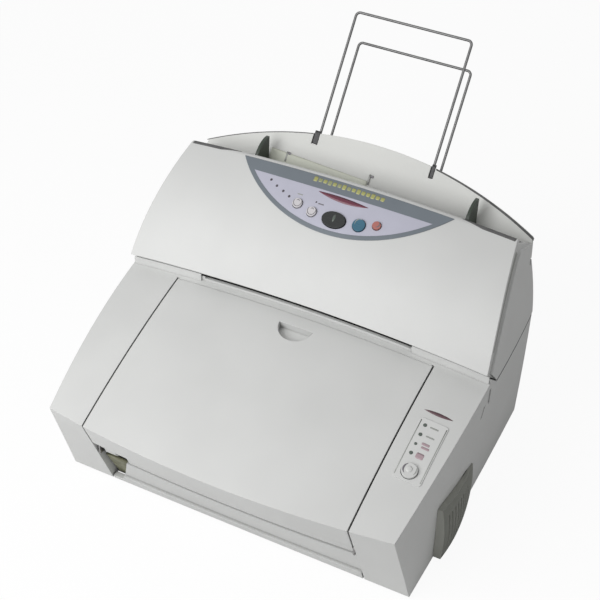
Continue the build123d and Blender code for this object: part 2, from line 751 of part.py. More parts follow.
def power_supply():
    """The power supply's board, transformer and capacitors at the right rear."""
    board = box((70, 120), (-60, 72), (8, 9.6))
    board += box((78, 106), (30, 58), (9.6, 34))
    for y in (-40, -18, 4):
        board += Pos(96, y, 20) * Cylinder(9, 21)
    for y in (-58, 64):
        board += box((92, 98), (y, y + 6), (CASE_BOTTOM + 2.5, 8))
    return board


def fan_frame():
    """The fan's square frame with a round throat and four struts."""
    x = (157.0, 169.0)
    y, z = FAN_CENTRE
    half = FAN_SIZE / 2
    frame = box(x, (y - half, y + half), (z - half, z + half)) - rod(x, FAN_CENTRE, half - 2)
    hub = rod((157, 160), FAN_CENTRE, 10)
    for turn in range(4):
        strut = box((157, 159), (-1.5, 1.5), (8, half - 1))
        hub += Pos(0, y, z) * (Rot(45 + 90 * turn, 0, 0) * strut)
    return frame + hub


def fan_rotor():
    """The fan's hub and seven blades."""
    y, z = FAN_CENTRE
    rotor = rod((160.4, 168), FAN_CENTRE, 11)
    for n in range(7):
        blade = box((-3.4, 3.4), (-0.6, 0.6), (10, 26.5))
        rotor += Pos(164.2, y, z) * (Rot(n * 360 / 7, 0, 0) * (Rot(0, 0, 38) * blade))
    return rotor


def grille_outline(grow):
    """Side view of the exhaust grille: square at the front, round at the lower rear."""
    front = GRILLE_FRONT_Y - grow
    top = GRILLE_TOP_Z + grow
    low = 4.0 - grow
    return Plane.YZ * make_face([
        Line((front, low), (front, top)),
        Line((front, top), (-46 + grow, 58 + grow)),
        ThreePointArc((-46 + grow, 58 + grow), (-60 + grow, 20), (-98, low)),
        Line((-98, low), (front, low)),
    ])


def exhaust_grille():
    """The domed dark grille with upright louvres."""
    dome_r = 210.0
    reach = 186.0
    dome = Pos(reach - dome_r, -92, 34) * Sphere(dome_r)
    body = across(grille_outline(0), (172.5, 192)) & dome
    body = body - lower_envelope(-0.05)
    louvres = Part()
    for n in range(8):
        y = GRILLE_FRONT_Y + 8.5 + n * 6.2
        louvres += box((170, 200), (y, y + 1.8), (12, 56 - n * 0.8))
    inner = Pos(reach - dome_r - 3.0, -92, 34) * Sphere(dome_r)
    rim = across(grille_outline(-5.0), (150, 192)) & inner
    return body - (rim & louvres_space()) - (louvres & across(grille_outline(-5.0), (150, 200)))


def louvres_space():
    """The hollow behind the grille's face."""
    return box((150, 200), (GRILLE_FRONT_Y + 5, -58), (12, 62))


# Sockets on the rear wall


def power_inlet():
    """A three-pin mains inlet with its recess open to the back."""
    (x0, x1), (z0, z1) = INLET
    body = box((x0, x1), (66, REAR_Y + 1), (z0, z1))
    recess = box((x0 + 2, x1 - 2), (70, REAR_Y + 2), (z0 + 2, z1 - 2))
    middle = (x0 + x1) / 2
    pins = Part()
    for x, z in ((middle, z0 + 13), (middle - 7, z0 + 8), (middle + 7, z0 + 8)):
        pins += box((x - 1, x + 1), (68, 82), (z - 2, z + 2))
    return (body - recess) + pins


def rear_sockets():
    """The data socket, and two telephone sockets in one block that are open to the back."""
    (x0, x1), (z0, z1) = PORT
    port = box((x0, x1), (84, REAR_Y + 0.8), (z0, z1))
    port += box((x0 + 6, x1 - 6), (74, REAR_Y + 5), (z0 + 3, z1 - 3))
    (x0, x1), (z0, z1) = JACKS
    jacks = box((x0, x1), (68, REAR_Y + 0.8), (z0, z1))
    for left in (x0 + 3, x0 + 19):
        jacks -= box((left, left + 12), (72, REAR_Y + 2), (z0 + 3, z1 - 3))
    return port + jacks


def switch_housing():
    """The frame of the power switch."""
    (x0, x1), (z0, z1) = SWITCH
    body = box((x0, x1), (72, REAR_Y + 0.8), (z0, z1))
    body -= box((x0 + 2, x1 - 2), (74.5, REAR_Y + 2), (z0 + 2, z1 - 2))
    return body - rod((x0, x1), ROCKER, ROCKER_R + SHAFT_FIT)


def power_switch():
    """The rocker, which tips about a pin across its middle."""
    (x0, x1), _ = SWITCH
    y, z = ROCKER
    profile = side_view((y - 2, z - 6), (y + 8.2, z - 6.8), (y + 6.8, z), (y + 6.2, z + 6.8), (y - 2, z + 6))
    rocker = across(profile, (x0 + 2.4, x1 - 2.4))
    return rocker + rod((x0 + 0.4, x1 - 0.4), ROCKER, ROCKER_R)


def case_screws():
    """Four pan-head screws on the rear wall."""
    screws = Part()
    for x, z in SCREWS:
        head = Pos(x, REAR_Y + 1, z) * (Rot(90, 0, 0) * Cylinder(4, 2))
        shank = Pos(x, REAR_Y - 4, z) * (Rot(90, 0, 0) * Cylinder(SCREW_R, 8))
        slot = box((x - 3, x + 3), (REAR_Y + 1.2, REAR_Y + 3), (z - 0.5, z + 0.5))
        screws += head + shank - slot
    return screws


# Upper unit


def upper_sides(inset):
    """The space between the two sides of the upper casing, which lean inwards and are rounded both ways."""
    low, high = UPPER_SIDE
    run = (high[0] - low[0], high[1] - low[1])
    reach = 0.3
    bulge = UPPER_SIDE_SAG * (1 + 2 * reach) ** 2
    base = bulge - UPPER_SIDE_SAG
    start = (low[0] - run[0] * reach - inset - base, low[1] - run[1] * reach)
    end = (high[0] + run[0] * reach - inset - base, high[1] + run[1] * reach)
    middle = ((start[0] + end[0]) / 2 + bulge, (start[1] + end[1]) / 2)
    deep = -230.0
    outline = Plane.XZ * make_face([
        ThreePointArc(start, middle, end),
        Line(end, (deep, end[1])),
        Line((deep, end[1]), (deep, start[1])),
        Line((deep, start[1]), start),
    ])
    sweep_angle = 34.0
    axis = Axis((low[0] - SIDE_RADIUS, SIDE_WIDEST_Y, 0), (0, 0, 1))
    outline = Pos(0, SIDE_WIDEST_Y, 0) * outline
    right = revolve(outline.rotate(axis, -sweep_angle / 2), axis, sweep_angle)
    return right & mirror(right, about=Plane.YZ)


def front_skin(outer, inner):
    """The crowned skin of the upper front, between two insets."""
    first = angle_at(UPPER_ARC, PANEL_TOP[0])
    last = angle_at(UPPER_ARC, CHIN[0])
    return crowned(arc_band(UPPER_ARC, first, last, outer, inner))


def cheek_profile(inset):
    """Side view of the upper casing's cheeks, up to a distance below the cover's surface."""
    first = angle_at(UPPER_ARC, PANEL_TOP[0])
    last = angle_at(UPPER_ARC, CHIN[0])
    start = arc_point(UPPER_ARC, first, inset)
    end = arc_point(UPPER_ARC, last, inset)
    middle = arc_point(UPPER_ARC, (first + last) / 2, inset)
    low = SEAM_Z + CASE_GAP
    corner = (REAR_Y, CHEEK_REAR_TOP[1] - 8)
    edges = [
        ThreePointArc(start, middle, end),
        Line(end, (NECK_Y, low)),
        Line((NECK_Y, low), (REAR_Y, low)),
        Line((REAR_Y, low), corner),
        Line(corner, CHEEK_REAR_TOP),
        Line(CHEEK_REAR_TOP, start),
    ]
    return Plane.YZ * make_face(edges)


def sloping_plane(apex):
    """The plane of a sloping plate: X to the right, Y up the slope, Z off its front side."""
    turn = math.radians(SLOPE)
    return Plane(origin=(0, *apex), x_dir=(1, 0, 0), z_dir=(0, -math.sin(turn), math.cos(turn)))


TRAY = sloping_plane(TRAY_APEX)
HOPPER = sloping_plane(HOPPER_TOP)


def slope_point(plane, v, w):
    """The point (y, z) of a sloping plane, v up the slope and w off its front."""
    point = plane.from_local_coords((0, v, w))
    return (point.Y, point.Z)


def underside_plate():
    """The strip under the chin that closes the upper casing towards the exit slot."""
    run = (NECK_Y - CHIN[0], SEAM_Z + CASE_GAP - CHIN[1])
    length = math.hypot(*run)
    inward = (-run[1] / length * 2.2, run[0] / length * 2.2)
    start = (CHIN[0] + 0.32 * run[0], CHIN[1] + 0.32 * run[1])
    end = (CHIN[0] + 0.97 * run[0], CHIN[1] + 0.97 * run[1])
    strip = side_view(start, end, (end[0] + inward[0], end[1] + inward[1]),
                      (start[0] + inward[0], start[1] + inward[1]))
    return crowned(strip) & upper_sides(WALL - 0.5)


def upper_case():
    """The upper casing: two cheeks, grooved below the cover, the strip under the chin and the rear wall."""
    filled = crowned(cheek_profile(GROOVE_LOW)) & upper_sides(0)
    filled = filled + (crowned(cheek_profile(WALL + COVER_CLEAR)) & upper_sides(GROOVE_DEPTH))
    space = box((-FAR, FAR), (-FAR, REAR_Y - WALL), (100, FAR))
    space += box((-FAR, FAR), (REAR_Y + 1, FAR), (100, FAR))
    wide = crowned(cheek_profile(GROOVE_LOW + WALL)) & upper_sides(WALL)
    walls = filled - (wide & space) - (upper_sides(GROOVE_DEPTH + WALL) & space)
    walls = walls - box((-PAPER_GAP_HALF, PAPER_GAP_HALF), (70, 100), (100, FAR))
    walls = walls - box((-FAR, FAR), (-FAR, CHEEK_FRONT_Y), (100, FAR))
    boss = rod(CONTROL_BOSS_X, CONTROL_HINGE, CONTROL_PIN_R + 1.2) & upper_sides(GROOVE_DEPTH + 0.8)
    bosses = boss + mirror(boss, about=Plane.YZ)
    body = walls + underside_plate() + bosses
    body -= rod((-CONTROL_BOSS_X[0] - 10, CONTROL_BOSS_X[0] + 10), CONTROL_HINGE, CONTROL_PIN_R + HINGE_FIT)
    return body - in_plane(TRAY, (-FAR, FAR), (-64, 5), (-TRAY_THICK - 0.1, 0.1))


def rolled_edge():
    """The rounded rear edge of the control cover."""
    turn = angle_at(UPPER_ARC, PANEL_TOP[0])
    centre = arc_point((PANEL_TOP, ROLL_R), turn + 180)
    return crowned(arc_band((centre, ROLL_R), ROLL_END, turn, 0.0, WALL))


def control_cover():
    """The curved cover over the document path, with a chin lip and hinge tabs with pins."""
    skin = (front_skin(0.0, WALL) + rolled_edge()) & upper_sides(0)
    y, z = CHIN
    chin_lip = crowned(side_view(CHIN, (y + 4.5, z - 3.5), (y + 6.5, z - 1.5), (y + 3.5, z + 2.5)))
    skin += chin_lip & box((1 - CONTROL_TAB_X[0], CONTROL_TAB_X[0] - 1), (-60, 0), (100, FAR))
    relief = rod((CONTROL_TAB_X[1], CONTROL_BOSS_X[1]), CONTROL_HINGE, CONTROL_PIN_R + 1.7)
    skin -= relief + mirror(relief, about=Plane.YZ)
    y, z = CONTROL_HINGE
    tab = rod(CONTROL_TAB_X, CONTROL_HINGE, CONTROL_PIN_R + 1.2)
    tab += box(CONTROL_TAB_X, (y - 3, y + 3), (z, z + 11))
    tab = tab & front_space_inside(0.8)
    pin = rod((CONTROL_TAB_X[0], CONTROL_BOSS_X[0] + 9.5), CONTROL_HINGE, CONTROL_PIN_R)
    hinge = tab + pin
    return skin + hinge + mirror(hinge, about=Plane.YZ) - key_holes()


def lens_plane():
    """The plane square to the control cover in the middle of its lens."""
    return surface_plane(UPPER_ARC, 0, LENS_MIDDLE_Y)


def lens_outline(border, top_cut):
    """The lens seen along its own normal: a straight top edge and a round lower edge."""
    radius = LENS_RADIUS - border
    centre_v = LENS_RADIUS - LENS_BOTTOM
    top = LENS_TOP - top_cut
    half = math.sqrt(radius ** 2 - (centre_v - top) ** 2)
    return make_face([
        ThreePointArc((-half, top), (0, centre_v - radius), (half, top)),
        Line((half, top), (-half, top)),
    ])


def lens_block(border, top_cut):
    """That outline as a block through the cover."""
    return lens_plane() * extrude(lens_outline(border, top_cut), 25, both=True)


def control_lens():
    """The slate-coloured lens border, laid on the cover, with its middle open for the inlay."""
    sheet = front_skin(-LENS_PROUD, 0.0)
    return sheet & (lens_block(0, 0) - lens_block(LENS_BORDER, LENS_BAND))


def control_inlay():
    """The pale inlay inside the lens border."""
    sheet = front_skin(-LENS_PROUD + 0.15, 0.0)
    return (sheet & lens_block(LENS_BORDER, LENS_BAND)) - key_holes()


def key_shape(name, grow, low, high):
    """A key's outline as a block along the surface normal at its own place."""
    x, y, half_x, half_y = KEYS[name]
    outline = Ellipse(half_x + grow, half_y + grow) if half_x != half_y else Circle(half_x + grow)
    return surface_plane(UPPER_ARC, x, y) * (Pos(0, 0, low) * extrude(outline, high - low))


def key_holes():
    """The holes for the keys through the cover and the inlay."""
    holes = Part()
    for name in KEYS:
        holes += key_shape(name, KEY_GAP, -12, 8)
    return holes


def key(name):
    """One key cap with a flange behind the cover that keeps it in."""
    cap = key_shape(name, 0, -WALL - 1.6, KEY_PROUD)
    flange = key_shape(name, KEY_GAP + 1.0, -WALL - 1.6 - 1.6, -WALL - 1.6)
    return cap + flange


def front_space_inside(inset):
    """The space behind the upper front, at an inset from its outer surface."""
    first = angle_at(UPPER_ARC, PANEL_TOP[0])
    last = angle_at(UPPER_ARC, CHIN[0])
    start = arc_point(UPPER_ARC, first, inset)
    end = arc_point(UPPER_ARC, last, inset)
    middle = arc_point(UPPER_ARC, (first + last) / 2, inset)
    edges = [
        ThreePointArc(start, middle, end),
        Line(end, (end[0], 100)),
        Line((end[0], 100), (start[0], 100)),
        Line((start[0], 100), start),
    ]
    return crowned(Plane.YZ * make_face(edges))


def top_skin(outer, inner):
    """The crowned skin of the lower top surface, between two insets."""
    first = angle_at(LOWER_ARC, COVER_REAR[0])
    last = angle_at(LOWER_ARC, -200.0)
    return crowned(arc_band(LOWER_ARC, first, last, outer, inner))


def status_lens():
    """The status lens on the right column, a thin rounded sheet with a hole for its key."""
    x0, x1, y0, y1 = STATUS_LENS
    outline = fillet(box((x0, x1), (y0, y1), (60, 200)).edges().filter_by(Axis.Z), 2.5)
    return (top_skin(-0.7, 0.0) & outline) - status_key_shape(KEY_GAP, -12, 8)


def status_key_shape(grow, low, high):
    """The round status key as a block along its normal."""
    x, y, radius = STATUS_KEY
    return surface_plane(LOWER_ARC, x, y) * (Pos(0, 0, low) * extrude(Circle(radius + grow), high - low))


def status_key():
    cap = status_key_shape(0, -WALL - 1.6, KEY_PROUD + 0.6)
    flange = status_key_shape(KEY_GAP + 1.0, -WALL - 3.2, -WALL - 1.6)
    return cap + flange


# Document tray and paper hopper


def tray_outline():
    """The tray plate flat: arched top, full width between the cheeks, narrow foot."""
    drop = TRAY_ARC_R - math.sqrt(TRAY_ARC_R ** 2 - TRAY_HALF ** 2)
    shoulder = -drop - 14.0
    inner = TRAY_HALF - 7.0
    return make_face([
        ThreePointArc((-TRAY_HALF, -drop), (0, 0), (TRAY_HALF, -drop)),
        Line((TRAY_HALF, -drop), (TRAY_HALF, shoulder)),
        Line((TRAY_HALF, shoulder), (inner, shoulder - 3)),
        Line((inner, shoulder - 3), (HOPPER_HALF, shoulder - 3)),
        Line((HOPPER_HALF, shoulder - 3), (HOPPER_HALF, TRAY_FOOT_V)),
        Line((HOPPER_HALF, TRAY_FOOT_V), (-HOPPER_HALF, TRAY_FOOT_V)),
        Line((-HOPPER_HALF, TRAY_FOOT_V), (-HOPPER_HALF, shoulder - 3)),
        Line((-HOPPER_HALF, shoulder - 3), (-inner, shoulder - 3)),
        Line((-inner, shoulder - 3), (-TRAY_HALF, shoulder)),
        Line((-TRAY_HALF, shoulder), (-TRAY_HALF, -drop)),
    ])


def in_plane(plane, x, v, w):
    """A block in a sloping plane's own directions."""
    return plane * box(x, v, w)


def leg_channel(plane, x, low_v, high_v):
    """A rib behind a plate with a bore for one leg of a wire support."""
    rib = in_plane(plane, (x - 4, x + 4), (low_v, high_v), (-7.0, -1.0))
    bore = Rot(90, 0, 0) * Cylinder(WIRE_R + WIRE_FIT, high_v - low_v + 6)
    bore = Pos(x, (low_v + high_v) / 2, WIRE_W) * bore
    return rib, plane * bore


def document_tray():
    """The sloping plate that documents lean on, with notches and channels for the wire support."""
    plate = TRAY * (Pos(0, 0, -TRAY_THICK) * extrude(tray_outline(), TRAY_THICK)) & upper_sides(0.1)
    for notch in TRAY_NOTCHES:
        plate -= in_plane(TRAY, notch, (TRAY_NOTCH_V, 5), (-5, 1))
    for x in DOC_WIRE_LEGS:
        rib, bore = leg_channel(TRAY, x, TRAY_FOOT_V, TRAY_NOTCH_V)
        plate = (plate + rib) - bore
    for side in (-1, 1):
        slot = sorted(GUIDE_MIDDLE_X + side * reach for reach in (GUIDE_X - GUIDE_TRAVEL - 3, GUIDE_X + 3))
        plate -= in_plane(TRAY, slot, (RACK_V - 2.5, RACK_V + 2.5), (-5, 1))
    post = Cylinder(PINION_POST_R, -PINION_W[0] - 2 + TRAY_THICK - 1)
    post = Pos(GUIDE_MIDDLE_X, RACK_V, (PINION_W[0] - 1 - TRAY_THICK) / 2) * post
    return plate + TRAY * post


def wire_support(plane, legs, top_v, low_v):
    """A U of steel wire whose legs run down into their channels."""
    left, right = legs
    path = FilletPolyline((left, low_v, WIRE_W), (left, top_v, WIRE_W), (right, top_v, WIRE_W),
                          (right, low_v, WIRE_W), radius=WIRE_CORNER_R)
    section = Plane(origin=(left, low_v, WIRE_W), x_dir=(1, 0, 0), z_dir=(0, 1, 0)) * Circle(WIRE_R)
    return plane * sweep(section, path=path)


def document_wire():
    return wire_support(TRAY, DOC_WIRE_LEGS, DOC_WIRE_TOP_V, TRAY_NOTCH_V - WIRE_SINK)


def paper_wire():
    return wire_support(HOPPER, PAPER_WIRE_LEGS, PAPER_WIRE_TOP_V, -WIRE_SINK)


def rack_bar(side):
    """A toothed bar behind the tray, from a guide to past the pinion."""
    pitch = math.pi * RACK_MODULE
    pitch_r = RACK_MODULE * PINION_TEETH / 2
    line = RACK_V - side * pitch_r
    depth = 1.2 * RACK_MODULE
    tip = 0.85 * RACK_MODULE
    first = 0.5 if side < 0 else 0.0
    low = -7
    high = 18
    back = line - side * 5.0
    points = []
    for n in range(low, high):
        for offset, reach in ((-0.27, -depth), (-0.11, tip), (0.11, tip), (0.27, -depth)):
            points.append((side * (n + first + offset) * pitch, line + side * reach))
    points.append((side * (GUIDE_X + 1.5), line - side * depth))
    points.append((side * (GUIDE_X + 1.5), back))
    points.append((side * (low - 0.27 + first) * pitch, back))
    bar = make_face(Polyline(*points, close=True))
    return TRAY * (Pos(GUIDE_MIDDLE_X, 0, PINION_W[0]) * extrude(bar, PINION_W[1] - PINION_W[0]))


def document_guide(side):
    """A guide: the green fin on the tray, its foot, the stem through the slot and the rack bar."""
    x = GUIDE_MIDDLE_X + side * GUIDE_X
    fin = Plane(origin=TRAY.from_local_coords((x - 1.6, 0, 0)), x_dir=TRAY.y_dir, z_dir=(1, 0, 0))
    heel, toe, tip, back_high, back_low, rear = GUIDE_FIN
    outline = make_face([
        Line(heel, toe),
        Line(toe, tip),
        ThreePointArc(tip, back_high, back_low),
        Line(back_low, rear),
        Line(rear, heel),
    ])
    blade = fin * extrude(outline, 3.2)
    foot = in_plane(TRAY, sorted((x + side * 1.9, x - side * 5)), (heel[0], toe[0]), (0.4, 2.0))
    stem = in_plane(TRAY, (x - 1.9, x + 1.9), (RACK_V - 2, RACK_V + 2), (PINION_W[0], 2.0))
    reach = sorted((RACK_V, RACK_V - side * (RACK_MODULE * PINION_TEETH / 2 + 3)))
    link = in_plane(TRAY, (x - 1.9, x + 1.9), reach, PINION_W)
    return blade + foot + stem + link + rack_bar(side)


def guide_pinion():
    """The pinion that makes both guides move together."""
    step = 360 / PINION_TEETH
    pitch_r = RACK_MODULE * PINION_TEETH / 2
    points = []
    for n in range(PINION_TEETH):
        for offset, radius in ((-0.27, pitch_r - 1.2), (-0.11, pitch_r + 0.85), (0.11, pitch_r + 0.85),
                               (0.27, pitch_r - 1.2)):
            turn = math.radians(90 + (n + offset) * step)
            points.append((GUIDE_MIDDLE_X + radius * math.cos(turn), RACK_V + radius * math.sin(turn)))
    wheel = make_face(Polyline(*points, close=True))
    solid = Pos(0, 0, PINION_W[0] + 0.2) * extrude(wheel, PINION_W[1] - PINION_W[0] - 0.4)
    hole = Pos(GUIDE_MIDDLE_X, RACK_V, PINION_W[0]) * Cylinder(PINION_POST_R + SHAFT_FIT, 20)
    return TRAY * (solid - hole)


def paper_hopper():
    """The sloping rear plate that printer paper leans on, with side cheeks and wire channels."""
    plate = in_plane(HOPPER, (-HOPPER_HALF, HOPPER_HALF), (-HOPPER_LENGTH, HOPPER_EDGE_V), (-WALL, 0))
    for side in (-1, 1):
        x = sorted((side * (HOPPER_HALF - WALL), side * HOPPER_HALF))
        cheek = across(side_view(
            (REAR_Y - WALL - 0.5, 116), (REAR_Y - WALL - 0.5, 168), (108, 196),
            slope_point(HOPPER, HOPPER_EDGE_V - 4, 16), slope_point(HOPPER, HOPPER_EDGE_V - 4, -WALL),
            slope_point(HOPPER, -62, -WALL),
            (REAR_Y + 2, 140), (REAR_Y + 2, 116)), x)
        plate += cheek
    for x in PAPER_WIRE_LEGS:
        rib, bore = leg_channel(HOPPER, x, -90, HOPPER_EDGE_V)
        plate = (plate + rib) - bore
    return plate


def pressure_plate():
    """The sprung plate that lifts the paper to the pick-up roller."""
    plate = in_plane(HOPPER, (-92, 92), (-112, -26), (1.2, 2.8))
    hinge = in_plane(HOPPER, (-92, 92), (-29, -26), (1.2, 4.0))
    return plate + hinge


def pickup_roller():
    """The pick-up shaft with its two rubber rollers."""
    body = rod((-FRAME_X - 3, FRAME_X + 3), PICKUP, SHAFT_R)
    for x in (-36, 36):
        body += rod((x - 14, x + 14), PICKUP, PICKUP_R)
    return body


def scanner_frame():
    """The frame of the document path: a floor and two end plates that stand on the side frames."""
    floor = box((-FRAME_X - 2, FRAME_X + 2), (-6, 38), (150, 152))
    ends = Part()
    for x0 in (-FRAME_X - 2, FRAME_X):
        plate = across(side_view((-6, 142.5), (11, 142.5), (15, 128.2), (66, 128.2), (74, 140), (74, 190),
                                 (40, 198), (2, 188)), (x0, x0 + 2))
        for centre in (PLATEN, DOC_ROLLER, PICKUP):
            plate -= rod((x0, x0 + 2), centre, SHAFT_R + SHAFT_FIT)
        ends += plate
    return floor + ends


def image_sensor():
    """The long image sensor bar under the white roller."""
    y, z = SENSOR
    return box((-112, 112), (y - 9, y + 9), (152, z + 6))


def sensor_glass():
    """The strip of glass on the sensor."""
    y, z = SENSOR
    return box((-110, 110), (y - 7, y + 7), (z + 6, z + 7.6))


def white_platen():
    """The white roller that presses the document on the glass."""
    return rod((-131, 131), PLATEN, SHAFT_R) + rod((-ROLLER_HALF, ROLLER_HALF), PLATEN, PLATEN_R)


def document_roller():
    """The document feed roller."""
    body = rod((-131, 131), DOC_ROLLER, SHAFT_R)
    for x in (-16, 16):
        body += rod((x - 11, x + 11), DOC_ROLLER, DOC_ROLLER_R)
    return body


def build():
    """Every sub-part under its node name."""
    nodes = {
        "base_pan": base_pan(),
        "rubber_feet": rubber_feet(),
        "lower_case": lower_case(),
        "front_panel": front_panel(),
        "side_frame_left": side_frame(-1),
        "side_frame_right": side_frame(1),
        "cross_bars": cross_bars(),
        "cover_hinge_pins": hinge_pins(),
        "front_cover": front_cover(),
        "photo_drum": photo_drum(),
        "drum_gear": drum_gear(),
        "transfer_roller": roller(transfer_centre(), TRANSFER_R),
        "developer_roller": roller(developer_centre(), DEVELOPER_R),
        "drum_frame": drum_frame(),
        "toner_cartridge": toner_cartridge(),
        "laser_unit": laser_unit(),
        "fuser_frame": fuser_frame(),
        "heat_roller": heat_roller(),
        "heat_gear": heat_gear(),
        "pressure_roller": roller(pressure_centre(), PRESSURE_R),
        "exit_roller": exit_roller(),
        "idler_gear": idler_gear(),
        "exit_idler_gear": exit_idler_gear(),
        "main_motor": main_motor(),
        "motor_pinion": motor_pinion(),
        "main_board": main_board(),
        "power_supply": power_supply(),
        "fan_frame": fan_frame(),
        "fan_rotor": fan_rotor(),
        "exhaust_grille": exhaust_grille(),
        "power_inlet": power_inlet(),
        "rear_sockets": rear_sockets(),
        "switch_housing": switch_housing(),
        "power_switch": power_switch(),
        "case_screws": case_screws(),
        "upper_case": upper_case(),
        "control_cover": control_cover(),
        "control_lens": control_lens(),
        "control_inlay": control_inlay(),
        "status_lens": status_lens(),
        "status_key": status_key(),
        "document_tray": document_tray(),
        "document_wire": document_wire(),
        "guide_left": document_guide(-1),
        "guide_right": document_guide(1),
        "guide_pinion": guide_pinion(),
        "paper_hopper": paper_hopper(),
        "paper_wire": paper_wire(),
        "pressure_plate": pressure_plate(),
        "pickup_roller": pickup_roller(),
        "scanner_frame": scanner_frame(),
        "image_sensor": image_sensor(),
        "sensor_glass": sensor_glass(),
        "white_platen": white_platen(),
        "document_roller": document_roller(),
    }
    for name in KEYS:
        nodes[name] = key(name)
    return nodes


if __name__ == "__main__":
    os.makedirs("parts", exist_ok=True)
    for node, shape in build().items():
        export_step(shape, f"parts/{node}.step")
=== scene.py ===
import json
import math
import bmesh
import bpy
from mathutils import Matrix, Vector
from mathutils.bvhtree import BVHTree


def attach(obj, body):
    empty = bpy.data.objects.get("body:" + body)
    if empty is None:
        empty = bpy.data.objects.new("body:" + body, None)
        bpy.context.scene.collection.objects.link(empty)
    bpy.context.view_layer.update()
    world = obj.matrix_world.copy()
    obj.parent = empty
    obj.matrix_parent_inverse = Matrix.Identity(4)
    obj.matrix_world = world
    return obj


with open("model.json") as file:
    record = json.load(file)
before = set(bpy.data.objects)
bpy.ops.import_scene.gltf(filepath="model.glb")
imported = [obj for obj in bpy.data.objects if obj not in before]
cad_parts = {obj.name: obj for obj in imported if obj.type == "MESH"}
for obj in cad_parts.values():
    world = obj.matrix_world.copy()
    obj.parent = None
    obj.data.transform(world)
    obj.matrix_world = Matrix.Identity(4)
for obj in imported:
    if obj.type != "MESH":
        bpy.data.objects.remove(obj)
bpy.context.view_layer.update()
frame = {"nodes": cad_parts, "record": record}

# The looks of a desktop multifunction printer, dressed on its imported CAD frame.
# Blender works in metres. Sizes below are in millimetres where a name or a comment says so.
# X to the right as seen from the front, Y to the back, Z up.

NODES = frame["nodes"]
SLOT_OF = {part["node"]: part["material_slot"] for part in frame["record"]["subparts"]}
MM = 0.001

# Camera, as a place, the point it looks at and its roll
CAMERA_PLACE = (472.3, -903.9, 1057.8)
CAMERA_AIM = (4.55, -42.0, 180.6)
CAMERA_ROLL = -1.13         # degrees
CAMERA_LENS = 89.22         # on a sensor of 36 mm

# Light: a soft box over the printer's front left corner, and an even sky
LAMP_AIM = (0.0, -60.0, 120.0)
LAMP_SIDE = (-0.34, -0.72, 0.62)  # from there towards the lamp
LAMP_DISTANCE = 1150.0
LAMP_SIZE = 850.0
LAMP_POWER = 9.6            # watts
SKY_STRENGTH = 0.405
FLOOR_PALE = 0.70           # what the floor throws back as light

# Colours, linear
CASING = (0.66, 0.665, 0.655)
TRAY = (0.71, 0.715, 0.69)
TRAY_STRIP = (0.72, 0.74, 0.64)
GUIDE_GREEN = (0.022, 0.034, 0.022)
SLATE = (0.155, 0.18, 0.205)
LAVENDER = (0.50, 0.50, 0.59)
MAROON = (0.12, 0.012, 0.035)
PLUM = (0.10, 0.045, 0.055)
BLACK_KEY = (0.008, 0.010, 0.010)
BLUE_KEY = (0.035, 0.13, 0.20)
RED_KEY = (0.42, 0.15, 0.13)
GREY_KEY = (0.62, 0.60, 0.62)
GRILLE = (0.20, 0.205, 0.18)
# Painted light: the paler colour of the grille's faces that look forwards or up
GRILLE_LIT = (0.38, 0.385, 0.35)
BLACK = (0.014, 0.014, 0.016)
NYLON = (0.66, 0.64, 0.56)
STEEL = (0.42, 0.41, 0.41)
WIRE_STEEL = (0.15, 0.15, 0.15)
ZINC = (0.50, 0.50, 0.48)
DRUM_BLUE = (0.03, 0.16, 0.15)
RUBBER = (0.016, 0.016, 0.017)
WHITE_RUBBER = (0.68, 0.68, 0.66)
BOARD_GREEN = (0.012, 0.075, 0.030)
PRINT_GREY = (0.16, 0.15, 0.17)
PRINT_PALE = (0.33, 0.34, 0.32)
PRINT_PINK = (0.42, 0.31, 0.34)
PRINT_YELLOW = (0.38, 0.38, 0.13)
PRINT_OLIVE = (0.30, 0.32, 0.16)
LED_DARK = (0.045, 0.035, 0.05)
LED_GREEN = (0.06, 0.08, 0.065)
OLIVE_GREY = (0.10, 0.10, 0.055)
OLIVE_PALE = (0.24, 0.24, 0.16)
# Painted shade: the colour of the dark strips laid into seams and along edges that are in shade
PAINTED_SHADE_DARK = (0.10, 0.10, 0.10)
# Painted shade: the darker grey of the insets in the cheeks' grooves
GROOVE_SHADE_GREY = (0.33, 0.34, 0.32)


# Places and sizes of the detail pieces. On the tray, V runs up its slope from the top of its arched edge.
SIDES = (("left", -1), ("right", 1))
PRINT_RISE = 0.10           # thickness of a print
RIM_DEPTH = 0.14            # how far a sheet's rim is carried down
CREVICE_SHADE_REACH = 5.0               # reach of the painted shade in corners and gaps

PANEL_LAMPS = ((-69.2, 43.6), (-61.3, 39.6), (-53.2, 36.6), (-45.6, 33.6))
SMALL_KEYS = (("mode_key", (-34.9, 30.0)), ("quality_key", (-18.9, 26.6)))
START_MARK = ((2.6, 25.6), (5.4, 25.6))
COPY_KEY = (28.0, 27.6)
STOP_KEY = (43.6, 31.8)
TICKS = 15
TICK_START = -31.0          # left end of the first scale mark
TICK_STEP = 4.8
TICK_WIDTH = 3.7
TICK_Y = 55.6

STATUS_KEY = (155.0, -133.8)
STATUS_DOME = (154.6, -133.6)
STATUS_LAMP_X = 149.1
STATUS_LAMPS = (-89.9, -99.5, -109.0, -118.2)
STATUS_LAMP_R = (1.75, 1.75, 1.35, 1.75)
STATUS_EDGES = (("left", 144.1), ("right", 167.7))
STATUS_EDGE_Y = (-140.5, -86.0)
STATUS_EDGE_HALF = 0.45

